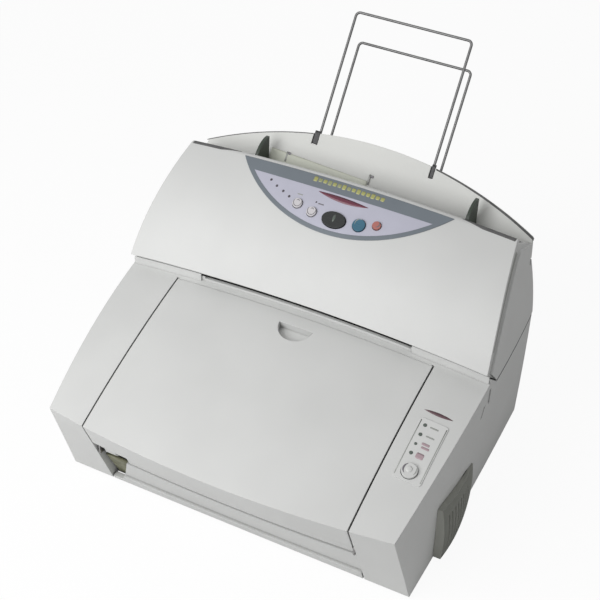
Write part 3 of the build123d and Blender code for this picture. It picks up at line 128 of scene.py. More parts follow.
TRAY_APEX_Y = 121.4
TRAY_APEX_Z = 241.5
TRAY_ARC_R = 379.0
TRAY_RUN = 0.6455           # Y per millimetre up the tray's slope
TRAY_RISE = 0.7638          # Z per millimetre up it
TRAY_TABS = ((-83.4, -29.0), (3.0, -27.6))
STRIP_X = (-101.0, 2.0)
STRIP_TOP_V = -29.4         # upper edge at the strip's left end
STRIP_FALL = 5.0            # how much lower that edge is at the right end
STRIP_LOW_V = -45.5
STRIP_RISE = 0.75
TRAY_NOTCHES = ((-63.6, -57.1), (57.1, 61.8))
NOTCH_ROWS = ((-15.2, -1.8), (-14.6, -0.7), (-4.0, -0.7), (-2.2, -1.4))  # V, and the height of the cap
NOTCH_FLOOR = -2.2
NOTCH_GAP = 0.4             # beside the cap
NOTCH_ROUND = 0.3           # height of the slope at the cap's edges
NOTCH_INSET = 0.9           # from the notch's wall to the cap's flat top
# Painted shade along the tray's arched edge and on the rear corners of the control cover
TRAY_EDGE_SHADE_RIGHT = (62.6, 169.0)
TRAY_EDGE_SHADE_LEFT = (-169.0, -64.2)
TRAY_EDGE_SHADE_GAP = 0.15         # from the tray's edge to the painted shade along it
TRAY_EDGE_SHADE_RISE = 0.12
COVER_EDGE_SHADE_X = (112.0, 163.0)
COVER_EDGE_SHADE_Y = 65.6

SEAM_SIDE_Y = (-9.5, 85.0)
SEAM_SIDE_Z = (129.9, 133.5)  # lower and upper edge of the painted shade strip in the side seam
SHADE_STRIP_PROUD = 0.08
SHADE_STRIP_DEPTH = 1.6
CROWN_AXIS_Z = -1550.0      # axis of the crown of both casings
CHIN_LIP_X = (107.5, 181.0)
CHIN_LIP_RING = ((-27.6, 150.5), (-27.6, 159.0), (-27.2, 159.4),  # Y, and Z in the middle of the crown
                 (-26.4, 159.4), (-26.1, 159.0), (-26.1, 150.5))
COVER_SEAM_X = (-129.0, 129.0)
COVER_SEAM_SPOTS = (-30.8, -33.0)  # Y on the casing and on the cover where the seam's heights are taken
COVER_STRIP_Y = (-30.9, -32.2)  # rear and front of the strip
COVER_STRIP_SHARE = 0.64    # share of the step to the cover that the strip's front takes
COVER_STRIP_SUNK = 0.05
COVER_STRIP_FOOT = 1.8
GROOVE_Y = (-22.0, 56.0)
GROOVE_DEPTHS = (5.2, 12.6)  # below the cover's surface
GROOVE_COVER_X = 160.0      # where the cover's surface is taken
GROOVE_PROUD = 0.06
GROOVE_SUNK = 0.6
ARM_ROWS = (6.5, 8.0, 20.0, 32.0, 43.5, 45.0)  # heights of the cast plate's sections
ARM_X = (-128.5, -118.0, -101.0)  # left end, start of the bulge, right end
ARM_FRONT_Y = -158.5        # the plate's front at ARM_FRONT_Z
ARM_FRONT_Z = 2.0
ARM_LEAN = 0.4126           # forwards per millimetre up
ARM_BULGE = 0.8
ARM_THICK = 2.0


# Materials


class Look:
    """A new material with its Principled shader and short ways to add nodes to it."""

    def __init__(self, name, roughness=0.5, metallic=0.0, **sockets):
        self.material = bpy.data.materials.new(name)
        self.material.use_nodes = True
        self.tree = self.material.node_tree
        self.shader = self.tree.nodes["Principled BSDF"]
        self.set_socket("Roughness", roughness)
        self.set_socket("Metallic", metallic)
        for socket, value in sockets.items():
            self.set_socket(socket.replace("_", " "), value)

    def set_socket(self, name, value):
        self.shader.inputs[name].default_value = value

    def node(self, kind, **inputs):
        """A node of a kind, with its inputs set to values or linked to other nodes' outputs."""
        made = self.tree.nodes.new("ShaderNode" + kind)
        for name, value in inputs.items():
            self.feed(made, name.replace("_", " "), value)
        return made

    def feed(self, node, name, value):
        """Sets or links one input of a node."""
        if isinstance(value, bpy.types.NodeSocket):
            self.tree.links.new(value, node.inputs[name])
        else:
            node.inputs[name].default_value = value

    def link(self, output, socket):
        self.tree.links.new(output, self.shader.inputs[socket])

    def place(self, stretch=(1, 1, 1)):
        """The piece's own coordinates in metres, stretched along the axes."""
        where = self.node("TexCoord").outputs["Object"]
        return self.node("Mapping", Vector=where, Scale=stretch).outputs["Vector"]

    def noise(self, size, detail=3.0, stretch=(1, 1, 1), rough=0.5):
        """Noise from 0 to 1 whose blotches are about size millimetres wide."""
        made = self.node("TexNoise", Vector=self.place(stretch), Scale=1 / (size * MM),
                         Detail=detail, Roughness=rough)
        return made.outputs["Fac"]

    def ramp(self, value, low, high, dark, light):
        """Two colours mixed by a value between two limits."""
        made = self.node("ValToRGB", Fac=value)
        made.color_ramp.elements[0].position = low
        made.color_ramp.elements[0].color = (*dark, 1)
        made.color_ramp.elements[1].position = high
        made.color_ramp.elements[1].color = (*light, 1)
        return made.outputs["Color"]

    def spread(self, value, low, high, out_low, out_high):
        """A value between two limits mapped to another pair of limits."""
        made = self.node("MapRange", Value=value, From_Min=low, From_Max=high,
                         To_Min=out_low, To_Max=out_high)
        return made.outputs["Result"]

    def mix(self, factor, first, second):
        """Two colours mixed by a factor."""
        made = self.tree.nodes.new("ShaderNodeMix")
        made.data_type = "RGBA"
        for socket, value in zip((made.inputs[0], made.inputs[6], made.inputs[7]), (factor, first, second)):
            if isinstance(value, bpy.types.NodeSocket):
                self.tree.links.new(value, socket)
            else:
                socket.default_value = value if socket == made.inputs[0] else (*value, 1)
        return made.outputs[2]

    def soft_edges(self, radius):
        """The surface normal with every edge rounded to a radius in millimetres."""
        made = self.node("Bevel", Radius=radius * MM)
        made.samples = 6
        return made.outputs["Normal"]

    def edges(self, radius):
        """A mask that is 1 on edges of the piece and 0 away from them."""
        rounded = self.soft_edges(radius)
        flat = self.node("NewGeometry").outputs["Normal"]
        dot = self.tree.nodes.new("ShaderNodeVectorMath")
        dot.operation = "DOT_PRODUCT"
        self.tree.links.new(rounded, dot.inputs[0])
        self.tree.links.new(flat, dot.inputs[1])
        return self.spread(dot.outputs["Value"], 0.80, 0.98, 1.0, 0.0)

    def painted_crevice_shade(self, reach):
        """A mask that is 1 deep in gaps and corners and 0 on open surfaces, for painting shade there."""
        made = self.node("AmbientOcclusion", Distance=reach * MM)
        made.samples = 8
        return self.spread(made.outputs["AO"], 0.25, 0.75, 1.0, 0.0)

    def bump(self, height, depth, normal=None):
        """Relief of a depth in millimetres from a height, over a normal."""
        made = self.node("Bump", Height=height, Distance=depth * MM, Strength=1.0)
        if normal is not None:
            self.tree.links.new(normal, made.inputs["Normal"])
        return made.outputs["Normal"]


def shade(colour, factor):
    """A colour made darker or lighter."""
    return tuple(min(1.0, part * factor) for part in colour)


def moulded(name, colour, roughness=0.48, grain=0.45, depth=0.012, edge=0.9, edge_paleness=1.10):
    """Moulded plastic with a fine spark texture, faint blotches, rounded edges made paler, and painted shade
    in its gaps and corners.
    """
    look = Look(name, roughness)
    blotches = look.noise(70, 2)
    speckle = look.noise(0.9, 2)
    base = look.ramp(blotches, 0.35, 0.65, shade(colour, 0.97), shade(colour, 1.018))
    flecked = look.mix(look.spread(speckle, 0.3, 0.7, 0.0, 0.35), base, shade(colour, 0.97))
    # The edges are made paler.
    pale_edged = look.mix(look.spread(look.edges(edge), 0, 1, 0, 0.5), flecked, shade(colour, edge_paleness))
    # Painted shade: the colour is darkened deep in gaps and corners, where shade falls.
    crevice_shaded = look.mix(look.spread(look.painted_crevice_shade(CREVICE_SHADE_REACH), 0, 1, 0, 0.55), pale_edged, shade(colour, 0.2))
    look.link(crevice_shaded, "Base Color")
    look.link(look.spread(look.noise(2.2, 3), 0.3, 0.7, roughness - 0.05, roughness + 0.07), "Roughness")
    look.link(look.bump(look.noise(grain, 2, rough=0.6), depth, look.soft_edges(edge)), "Normal")
    return look.material


def painted_light_plastic(name, colour, pale):
    """Rough plastic with painted light: its faces which look forwards or up are painted paler."""
    look = Look(name, 0.55)
    # Painted light: how far a face looks forwards or up sets how much of the paler colour it gets.
    parts = look.node("SeparateXYZ", Vector=look.node("NewGeometry").outputs["Normal"])
    ahead = look.spread(parts.outputs["Y"], -0.9, -0.4, 1.0, 0.0)
    above = look.spread(parts.outputs["Z"], 0.4, 0.8, 0.0, 0.6)
    either = look.node("Math")
    either.operation = "MAXIMUM"
    look.feed(either, 0, ahead)
    look.feed(either, 1, above)
    dust = look.noise(6, 4, stretch=(1, 1, 0.25))
    base = look.ramp(dust, 0.3, 0.7, shade(colour, 0.93), shade(colour, 1.06))
    look.link(look.mix(either.outputs["Value"], base, pale), "Base Color")
    look.link(look.spread(dust, 0.3, 0.7, 0.5, 0.62), "Roughness")
    look.link(look.bump(look.noise(0.5, 2, rough=0.6), 0.02, look.soft_edges(0.8)), "Normal")
    return look.material


def smooth_plastic(name, colour, roughness=0.28, edge=0.6):
    """Satin plastic with faint flow marks and fine scuffs."""
    look = Look(name, roughness)
    flow = look.noise(9, 4, stretch=(0.3, 1, 1))
    look.link(look.ramp(flow, 0.3, 0.7, shade(colour, 0.96), shade(colour, 1.04)), "Base Color")
    scuffs = look.noise(1.1, 4, stretch=(0.2, 1, 1), rough=0.7)
    look.link(look.spread(scuffs, 0.35, 0.75, roughness - 0.04, roughness + 0.12), "Roughness")
    look.link(look.bump(look.noise(1.6, 2), 0.004, look.soft_edges(edge)), "Normal")
    return look.material


def printed_film(name, colour, roughness=0.32):
    """Screen-printed film under a faintly stippled lacquer."""
    look = Look(name, roughness, Coat_Weight=0.15, Coat_Roughness=0.3)
    tone = look.noise(24, 3)
    look.link(look.ramp(tone, 0.3, 0.7, shade(colour, 0.96), shade(colour, 1.03)), "Base Color")
    look.link(look.spread(look.noise(0.8, 2), 0.3, 0.7, roughness - 0.05, roughness + 0.06), "Roughness")
    look.link(look.bump(look.noise(0.35, 1), 0.004, look.soft_edges(0.4)), "Normal")
    return look.material


def brushed_metal(name, colour, roughness=0.32, stretch=(0.04, 1, 1)):
    """Metal with a fine grain drawn along one axis."""
    look = Look(name, roughness, 1.0)
    lines = look.noise(0.25, 3, stretch=stretch, rough=0.6)
    stains = look.noise(14, 3)
    tone = look.ramp(stains, 0.3, 0.7, shade(colour, 0.92), shade(colour, 1.06))
    look.link(look.mix(look.spread(lines, 0.3, 0.7, 0, 0.4), tone, shade(colour, 0.80)), "Base Color")
    look.link(look.spread(lines, 0.3, 0.7, roughness - 0.07, roughness + 0.10), "Roughness")
    look.link(look.bump(lines, 0.006, look.soft_edges(0.3)), "Normal")
    return look.material


def cast_plate(name, colour, pale):
    """A ribbed plate in two tones, with fine grains."""
    look = Look(name, 0.6)
    bands = look.noise(9, 3, stretch=(1, 0.2, 1))
    look.link(look.ramp(bands, 0.35, 0.65, colour, pale), "Base Color")
    look.link(look.spread(look.noise(1.2, 3), 0.3, 0.7, 0.52, 0.68), "Roughness")
    look.link(look.bump(look.noise(0.4, 2), 0.02, look.soft_edges(0.4)), "Normal")
    return look.material


def rubbery(name, colour, roughness=0.78):
    """Rubber with fine pores and dusty patches."""
    look = Look(name, roughness)
    dust = look.noise(5, 4, rough=0.65)
    look.link(look.ramp(dust, 0.35, 0.75, colour, shade(colour, 1.6)), "Base Color")
    look.link(look.spread(dust, 0.3, 0.7, roughness - 0.06, roughness + 0.1), "Roughness")
    look.link(look.bump(look.noise(0.3, 2, rough=0.7), 0.02, look.soft_edges(0.5)), "Normal")
    return look.material


def drum_coating(name):
    """The glossy blue-green coating of a photo drum, with hairline rings round it."""
    look = Look(name, 0.16, Coat_Weight=0.6, Coat_Roughness=0.08)
    rings = look.noise(0.5, 2, stretch=(1, 0.01, 0.01))
    look.link(look.ramp(rings, 0.3, 0.7, shade(DRUM_BLUE, 0.85), shade(DRUM_BLUE, 1.15)), "Base Color")
    look.link(look.spread(rings, 0.3, 0.7, 0.12, 0.22), "Roughness")
    return look.material


def circuit_board(name):
    """Green solder mask with copper tracks in two directions under it."""
    look = Look(name, 0.35, Coat_Weight=0.3, Coat_Roughness=0.2)
    tracks = look.node("TexBrick", Vector=look.place(), Scale=90.0, Mortar_Size=0.03,
                       Color1=(0.0, 0.0, 0.0, 1), Color2=(0.25, 0.25, 0.25, 1), Mortar=(1, 1, 1, 1))
    base = look.ramp(look.noise(6, 2), 0.3, 0.7, shade(BOARD_GREEN, 0.85), shade(BOARD_GREEN, 1.15))
    lit = look.mix(look.spread(tracks.outputs["Fac"], 0, 1, 0, 0.55), base, shade(BOARD_GREEN, 2.6))
    look.link(lit, "Base Color")
    look.link(look.bump(tracks.outputs["Fac"], 0.03), "Normal")
    return look.material


def clear_glass(name):
    """Glass with the faintest green and a little dust."""
    look = Look(name, 0.04, Transmission_Weight=1.0, IOR=1.5)
    dust = look.noise(1.5, 4, rough=0.7)
    look.link(look.ramp(dust, 0.4, 0.8, (0.90, 0.96, 0.93), (0.82, 0.88, 0.85)), "Base Color")
    look.link(look.spread(dust, 0.5, 0.8, 0.02, 0.14), "Roughness")
    return look.material


def lamp_lens(name, colour):
    """The tinted cap of a small lamp that is off."""
    look = Look(name, 0.18, Coat_Weight=0.5, Coat_Roughness=0.1)
    look.link(look.ramp(look.noise(0.7, 2), 0.3, 0.7, shade(colour, 0.8), shade(colour, 1.3)), "Base Color")
    return look.material


LOOKS = {
    "casing": moulded("casing", CASING),
    "cover": moulded("cover", CASING, grain=0.5),
    "tray": moulded("tray", TRAY, roughness=0.52),
    "guide": smooth_plastic("guide", GUIDE_GREEN, 0.38),
    "lens_border": printed_film("lens_border", SLATE, 0.36),
    "inlay": printed_film("inlay", LAVENDER),
    "dark_key": smooth_plastic("dark_key", BLACK_KEY, 0.30),
    "blue_key": smooth_plastic("blue_key", BLUE_KEY, 0.30),
    "red_key": smooth_plastic("red_key", RED_KEY, 0.30),
    "grey_key": moulded("grey_key", GREY_KEY, 0.40, depth=0.006, edge=0.6),
    "grille": painted_light_plastic("grille", GRILLE, GRILLE_LIT),
    "black_plastic": moulded("black_plastic", BLACK, 0.45, edge=0.5, edge_paleness=1.8),
    "nylon": smooth_plastic("nylon", NYLON, 0.40, edge=0.2),
    "steel": brushed_metal("steel", STEEL),
    "drum_coat": drum_coating("drum_coat"),
    "roller_metal": brushed_metal("roller_metal", ZINC, 0.25, stretch=(1, 0.05, 0.05)),
    "rubber": rubbery("rubber", RUBBER),
    "white_rubber": rubbery("white_rubber", WHITE_RUBBER, 0.7),
    "board": circuit_board("board"),
    "clear_glass": clear_glass("clear_glass"),
}
NODE_LOOKS = {
    "status_lens": printed_film("status_film", shade(CASING, 1.02), 0.35),
    "status_key": moulded("status_key", CASING, 0.40, depth=0.006, edge=0.9),
    "document_wire": brushed_metal("wire_steel", WIRE_STEEL, 0.38, stretch=(1, 0.2, 0.2)),
}
NODE_LOOKS["paper_wire"] = NODE_LOOKS["document_wire"]
MAROON_PRINT = printed_film("maroon_print", MAROON)
PLUM_PRINT = printed_film("plum_print", PLUM)
GREY_PRINT = printed_film("grey_print", PRINT_GREY)
PALE_PRINT = printed_film("pale_print", PRINT_PALE)
PINK_PRINT = printed_film("pink_print", PRINT_PINK)
YELLOW_PRINT = printed_film("yellow_print", PRINT_YELLOW)
OLIVE_PRINT = printed_film("olive_print", PRINT_OLIVE)
LAMP_CAP = lamp_lens("lamp_cap", LED_DARK)
GREEN_CAP = lamp_lens("green_cap", LED_GREEN)
STRIP_LOOK = moulded("tray_strip", TRAY_STRIP, roughness=0.5)
ARM_LOOK = cast_plate("arm_plate", OLIVE_GREY, OLIVE_PALE)
PAINTED_SHADE_LOOK = rubbery("painted_shade_strip", PAINTED_SHADE_DARK)
GROOVE_SHADE_LOOK = moulded("painted_groove_shade", GROOVE_SHADE_GREY)


def dress_nodes():
    """Gives every CAD node the material of its slot."""
    for name, node in NODES.items():
        node.data.materials.clear()
        node.data.materials.append(NODE_LOOKS.get(name, LOOKS[SLOT_OF[name]]))


# Detail pieces, laid on the CAD surfaces


class Ground:
    """The upper surface of a CAD node."""

    def __init__(self, name):
        mesh = NODES[name].data
        corners = [vertex.co for vertex in mesh.vertices]
        faces = [tuple(face.vertices) for face in mesh.polygons]
        self.tree = BVHTree.FromPolygons(corners, faces)

    def side(self, side, y, z):
        """How far out the surface is at y and z, seen from one side, in millimetres."""
        start = Vector((side, y * MM, z * MM))
        place = self.tree.ray_cast(start, Vector((-side, 0, 0)))[0]
        return abs(place.x) / MM

    def spot(self, x, y):
        """The highest point over x and y in millimetres, and the normal there."""
        place, normal, _, _ = self.tree.ray_cast(Vector((x * MM, y * MM, 1.0)), Vector((0, 0, -1)))
        return place, (normal if normal.z > 0 else -normal)


def add_piece(name, body, look, form):
    """Makes an object of a form and lets it ride on a body."""
    bmesh.ops.recalc_face_normals(form, faces=form.faces)
    mesh = bpy.data.meshes.new(name)
    form.to_mesh(mesh)
    form.free()
    mesh.materials.append(look)
    piece = bpy.data.objects.new(name, mesh)
    bpy.context.collection.objects.link(piece)
    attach(piece, body)
    return piece


def bar(name, body, look, sections):
    """A closed bar through a row of sections, each a ring of points in millimetres."""
    form = bmesh.new()
    rings = [[form.verts.new(Vector(point) * MM) for point in section] for section in sections]
    size = len(rings[0])
    for low, high in zip(rings, rings[1:]):
        for k in range(size):
            form.faces.new((low[k], low[(k + 1) % size], high[(k + 1) % size], high[k]))
    form.faces.new(rings[0])
    form.faces.new(rings[-1])
    return add_piece(name, body, look, form)


class TrayFace:
    """The plane of the document tray's front."""

    def spot(self, x, y):
        """The point of the plane over x and y in millimetres, and its normal."""
        z = TRAY_APEX_Z + (y - TRAY_APEX_Y) / TRAY_RUN * TRAY_RISE
        return Vector((x, y, z)) * MM, Vector((0, -TRAY_RISE, TRAY_RUN))


def lay(name, body, look, ground, columns, rows, place):
    """A thin raised sheet on a surface.

    place gives x, y and the height above the surface, all in millimetres, for two shares from 0 to 1.
    The sheet's rim is carried down into the surface.
    """
    form = bmesh.new()
    grid = []
    for row in range(rows + 1):
        line = []
        for column in range(columns + 1):
            x, y, rise = place(column / columns, row / rows)
            spot, normal = ground.spot(x, y)
            line.append(form.verts.new(spot + normal * rise * MM))
        grid.append(line)
    for low, high in zip(grid, grid[1:]):
        for k in range(columns):
            form.faces.new((low[k], low[k + 1], high[k + 1], high[k]))
    bmesh.ops.remove_doubles(form, verts=form.verts, dist=0.01 * MM)
    rim = [edge for edge in form.edges if edge.is_boundary]
    drawn = bmesh.ops.extrude_edge_only(form, edges=rim)["geom"]
    for part in drawn:
        if isinstance(part, bmesh.types.BMVert):
            part.co.z -= RIM_DEPTH * MM
    piece = add_piece(name, body, look, form)
    piece.data.shade_smooth()
    return piece


def disc(name, body, look, ground, centre, radius, rise):
    """A round cap that is highest in its middle."""
    def place(turn, share):
        angle = 2 * math.pi * turn
        reach = radius * share
        height = PRINT_RISE + (rise - PRINT_RISE) * math.sqrt(1 - share * share)
        return centre[0] + reach * math.cos(angle), centre[1] + reach * math.sin(angle), height
    return lay(name, body, look, ground, 28, 6, place)


def arc(name, body, look, ground, centre, radii, degrees):
    """A part of a printed ring that narrows to both ends."""
    def place(along, share):
        angle = math.radians(degrees[0] + (degrees[1] - degrees[0]) * along)
        middle = (radii[0] + radii[1]) / 2
        half = (radii[1] - radii[0]) / 2 * (0.15 + 0.85 * math.sin(math.pi * along))
        reach = middle + half * (2 * share - 1)
        return centre[0] + reach * math.cos(angle), centre[1] + reach * math.sin(angle), PRINT_RISE
    return lay(name, body, look, ground, 24, 2, place)


def ring(name, body, look, ground, centre, radii):
    """A whole printed ring."""
    def place(turn, share):
        angle = 2 * math.pi * turn
        reach = radii[0] + (radii[1] - radii[0]) * share
        return centre[0] + reach * math.cos(angle), centre[1] + reach * math.sin(angle), PRINT_RISE
    return lay(name, body, look, ground, 36, 2, place)


def patch(name, body, look, ground, x, y, rise=PRINT_RISE, corner=0.25):
    """A printed rectangle with rounded corners, as much of its smaller side as the share corner."""
    width = x[1] - x[0]
    depth = y[1] - y[0]
    radius = corner * min(width, depth)

    def place(along, share):
        left = x[0] + width * along
        from_end = min(left - x[0], x[1] - left)
        cut = radius - math.sqrt(max(0.0, radius ** 2 - max(0.0, radius - from_end) ** 2))
        low = y[0] + cut
        high = y[1] - cut
        return left, low + (high - low) * share, rise
    return lay(name, body, look, ground, 24, 3, place)


def stripe(name, body, look, ground, start, end, thick, sag=0.0):
    """A printed stripe that is pointed at both ends."""
    def place(along, share):
        swell = math.sin(math.pi * along) ** 0.8
        x = start[0] + (end[0] - start[0]) * along
        y = start[1] + (end[1] - start[1]) * along - sag * swell
        return x, y + thick * swell * (share - 0.5), PRINT_RISE
    return lay(name, body, look, ground, 40, 2, place)


def dress_panel():
    """The prints and small lamps of the control panel."""
    body = "control_cover_body"
    inlay = Ground("control_inlay")
    band = Ground("control_lens")
    stripe("panel_stripe", body, MAROON_PRINT, inlay, (-21.5, 45.4), (29.5, 44.0), 5.0, sag=1.2)
    for number, spot in enumerate(PANEL_LAMPS):
        disc(f"panel_lamp_{number}", body, LAMP_CAP, inlay, spot, 1.2, 0.45)
    disc("quality_lamp", body, LAMP_CAP, inlay, (-18.6, 35.4), 0.8, 0.3)
    patch("quality_mark", body, GREY_PRINT, inlay, (-16.4, -10.8), (34.3, 35.2))
    patch("mode_mark", body, PALE_PRINT, inlay, (-39.0, -33.6), (37.4, 38.3))
    for number in range(TICKS):
        x = TICK_START + number * TICK_STEP
        tall = 1.9 if number % 3 else 2.5
        look = OLIVE_PRINT if number < 8 and number % 2 else YELLOW_PRINT
        middle = TICK_Y - number * 0.03
        patch(f"scale_mark_{number}", body, look, band, (x, x + TICK_WIDTH), (middle - tall, middle + tall))
    for name, spot in SMALL_KEYS:
        top = Ground(name)
        ring(f"{name}_ring", f"{name}_body", GREY_PRINT, top, spot, (3.6, 4.1))
        arc(f"{name}_arc", f"{name}_body", GREY_PRINT, top, spot, (1.3, 2.1), (30, 150))
    stripe("start_mark", "start_key_body", GREEN_CAP, Ground("start_key"), *START_MARK, 6.4)
    arc("copy_mark", "copy_key_body", PALE_PRINT, Ground("copy_key"), COPY_KEY, (3.4, 4.3), (70, 200))
    arc("stop_mark", "stop_key_body", GREY_PRINT, Ground("stop_key"), STOP_KEY, (2.0, 3.0), (-100, 60))


def dress_status():
    """The prints, small lamps and key marks of the status field on the right column."""
    body = "printer_body"
    film = Ground("status_lens")
    stripe("status_stripe", body, PLUM_PRINT, Ground("lower_case"), (142.0, -75.6), (168.6, -75.2), 3.4)
    for name, x in STATUS_EDGES:
        span = x - STATUS_EDGE_HALF, x + STATUS_EDGE_HALF
        patch(f"status_edge_{name}", body, PALE_PRINT, film, span, STATUS_EDGE_Y)
    for number, (y, radius) in enumerate(zip(STATUS_LAMPS, STATUS_LAMP_R)):
        disc(f"status_lamp_{number}", body, GREEN_CAP, film, (STATUS_LAMP_X, y), radius, 0.6)
    marks = ((PALE_PRINT, (153.8, 161.6), (-90.8, -89.3)), (PALE_PRINT, (154.0, 161.8), (-99.8, -98.4)),
             (PINK_PRINT, (153.8, 160.8), (-107.9, -105.4)), (PINK_PRINT, (154.6, 162.0), (-111.2, -109.0)),
             (PINK_PRINT, (153.6, 160.6), (-121.0, -115.4)))
    for number, (look, x, y) in enumerate(marks):
        patch(f"status_mark_{number}", body, look, film, x, y)
    top = Ground("status_key")
    disc("status_key_dome", "status_key_body", NODE_LOOKS["status_key"], top, STATUS_DOME, 3.0, 0.9)
    arc("status_key_left", "status_key_body", GREY_PRINT, top, STATUS_KEY, (4.6, 6.2), (125, 235))
    arc("status_key_right", "status_key_body", PALE_PRINT, top, STATUS_KEY, (5.3, 6.2), (-35, 35))


def dress_tray():
    """The raised strip with its two tabs on the document tray."""
    body = "printer_body"
    ground = Ground("document_tray")

    def strip(along, share):
        x = STRIP_X[0] + (STRIP_X[1] - STRIP_X[0]) * along
        v = STRIP_TOP_V - STRIP_FALL * along
        v = v + (STRIP_LOW_V - v) * share
        shoulder = min(1.0, along * 30, (1 - along) * 30, share * 8 + 0.15)
        return x, TRAY_APEX_Y + v * TRAY_RUN, 0.15 + STRIP_RISE * shoulder
    lay("tray_strip", body, STRIP_LOOK, ground, 60, 8, strip)
    for number, (x, v) in enumerate(TRAY_TABS):
        y = TRAY_APEX_Y + v * TRAY_RUN
        patch(f"tray_tab_{number}", body, PALE_PRINT, ground, (x - 0.8, x + 0.8), (y - 6.4, y), 1.2,
              corner=0.4)
        patch(f"tray_pointer_{number}", body, GREY_PRINT, ground, (x + 0.9, x + 3.6), (y - 1.7, y - 0.3), 1.0)


def tray_point(x, v, w):
    """A point of the document tray, v up the slope from its apex and w off its front."""
    return x, TRAY_APEX_Y + v * TRAY_RUN - w * TRAY_RISE, TRAY_APEX_Z + v * TRAY_RISE + w * TRAY_RUN


def dress_notches():
    """Dark caps over the channels at the foot of the tray's notches."""
    for number, (left, right) in enumerate(TRAY_NOTCHES):
        sections = []
        for v, top in NOTCH_ROWS:
            side = top - NOTCH_ROUND
            corners = ((left + NOTCH_GAP, NOTCH_FLOOR), (right - NOTCH_GAP, NOTCH_FLOOR),
                       (right - NOTCH_GAP, side), (right - NOTCH_INSET, top),
                       (left + NOTCH_INSET, top), (left + NOTCH_GAP, side))
            sections.append([tray_point(x, v, w) for x, w in corners])
        bar(f"notch_cap_{number}", "printer_body", LOOKS["black_plastic"], sections)


def tray_edge(x):
    """How far down the slope the tray's arched top edge is at x."""
    return math.sqrt(TRAY_ARC_R ** 2 - x * x) - TRAY_ARC_R


def dress_edges():
    """Painted shade: dark strips along the tray's arched edge and on the rear corners of the control cover.
    """
    tray = TrayFace()
    cover = Ground("control_cover")

    # Painted shade: a dark strip along the tray's arched edge.
    def rim(span, wide):
        def place(along, share):
            x = span[0] + (span[1] - span[0]) * along
            v = tray_edge(x) - TRAY_EDGE_SHADE_GAP - wide(along) * share
            return x, TRAY_APEX_Y + v * TRAY_RUN, TRAY_EDGE_SHADE_RISE
        return place

    def rear(side):
        def place(along, share):
            x = side * (COVER_EDGE_SHADE_X[0] + (COVER_EDGE_SHADE_X[1] - COVER_EDGE_SHADE_X[0]) * along)
            wide = 1.6 + 3.8 * min(1.0, 2.5 * along)
            return x, COVER_EDGE_SHADE_Y - wide * share, PRINT_RISE
        return place
    right = rim(TRAY_EDGE_SHADE_RIGHT, lambda along: 1.2 + 1.2 * along)
    left = rim(TRAY_EDGE_SHADE_LEFT, lambda along: 0.7)
    lay("tray_edge_shade_right", "printer_body", PAINTED_SHADE_LOOK, tray, 60, 2, right)
    lay("tray_edge_shade_left", "printer_body", PAINTED_SHADE_LOOK, tray, 60, 2, left)
    for name, side in SIDES:
        lay(f"cover_edge_{name}", "control_cover_body", PAINTED_SHADE_LOOK, cover, 30, 6, rear(side))


def steps_over(span, count):
    """The ends of a number of equal steps over a span."""
    return [span[0] + (span[1] - span[0]) * step / count for step in range(count + 1)]


def dress_seam_shade():
    """Dark strips of painted shade in the seams between the two casings, seen from the sides."""
    ground = Ground("lower_case")
    low, high = SEAM_SIDE_Z
    for name, side in SIDES:
        sections = []
        for y in steps_over(SEAM_SIDE_Y, 24):
            surface = ground.side(side, y, low)
            out = side * (surface + SHADE_STRIP_PROUD)
            back = side * (surface - SHADE_STRIP_DEPTH)
            sections.append([(out, y, low), (out, y, high), (back, y, high), (back, y, low)])
        bar(f"painted_shade_strip_{name}", "printer_body", PAINTED_SHADE_LOOK, sections)


def crown(z, x):
    """Height at x of a surface that is z high in the middle, by the crown of both casings."""
    return math.sqrt((z - CROWN_AXIS_Z) ** 2 - x * x) + CROWN_AXIS_Z


def dress_chin():
    """The sealing lips under both ends of the chin."""
    for name, side in SIDES:
        sections = []
        for x in steps_over(CHIN_LIP_X, 24):
            sections.append([(side * x, y, crown(z, x)) for y, z in CHIN_LIP_RING])
        bar(f"chin_lip_{name}", "printer_body", LOOKS["casing"], sections)


def dress_cover_seam():
    """The strip that narrows the seam behind the front cover."""
    fixed = Ground("lower_case")
    moving = Ground("front_cover")
    rear, front = COVER_STRIP_Y
    sections = []
    for x in steps_over(COVER_SEAM_X, 40):
        high = fixed.spot(x, COVER_SEAM_SPOTS[0])[0].z / MM
        low = moving.spot(x, COVER_SEAM_SPOTS[1])[0].z / MM
        edge = high + (low - high) * COVER_STRIP_SHARE
        sections.append([(x, rear, high - COVER_STRIP_SUNK), (x, front, edge - COVER_STRIP_SUNK),
                         (x, front, edge - COVER_STRIP_FOOT), (x, rear, high - COVER_STRIP_FOOT)])
    bar("cover_seam_strip", "printer_body", LOOKS["casing"], sections)


def dress_grooves():
    """Inset strips in the grooves of both cheeks, made darker as painted shade."""
    cover = Ground("control_cover")
    cheeks = Ground("upper_case")
    for name, side in SIDES:
        sections = []
        for y in steps_over(GROOVE_Y, 30):
            spot, normal = cover.spot(side * GROOVE_COVER_X, y)
            near, far = (spot - normal * depth * MM for depth in GROOVE_DEPTHS)
            section = []
            for place, out in ((near, GROOVE_PROUD), (far, GROOVE_PROUD), (far, -GROOVE_SUNK),
                               (near, -GROOVE_SUNK)):
                across = place.y / MM, place.z / MM
                section.append((side * (cheeks.side(side, *across) + out), *across))
            sections.append(section)
        bar(f"groove_shade_inset_{name}", "printer_body", GROOVE_SHADE_LOOK, sections)


def dress_arm():
    """The cast plate behind the opening at the left of the front."""
    left, middle, right = ARM_X
    sections = []
    for z in ARM_ROWS:
        front = ARM_FRONT_Y - ARM_LEAN * (z - ARM_FRONT_Z)
        bulge = ARM_BULGE if ARM_ROWS[0] < z < ARM_ROWS[-1] else 0.0
        sections.append([(left, front, z), (middle, front - bulge, z), (right, front - bulge, z),
                         (right, front + ARM_THICK, z), (left, front + ARM_THICK, z)])
    bar("arm_plate", "printer_body", ARM_LOOK, sections)


# Stage, light and camera


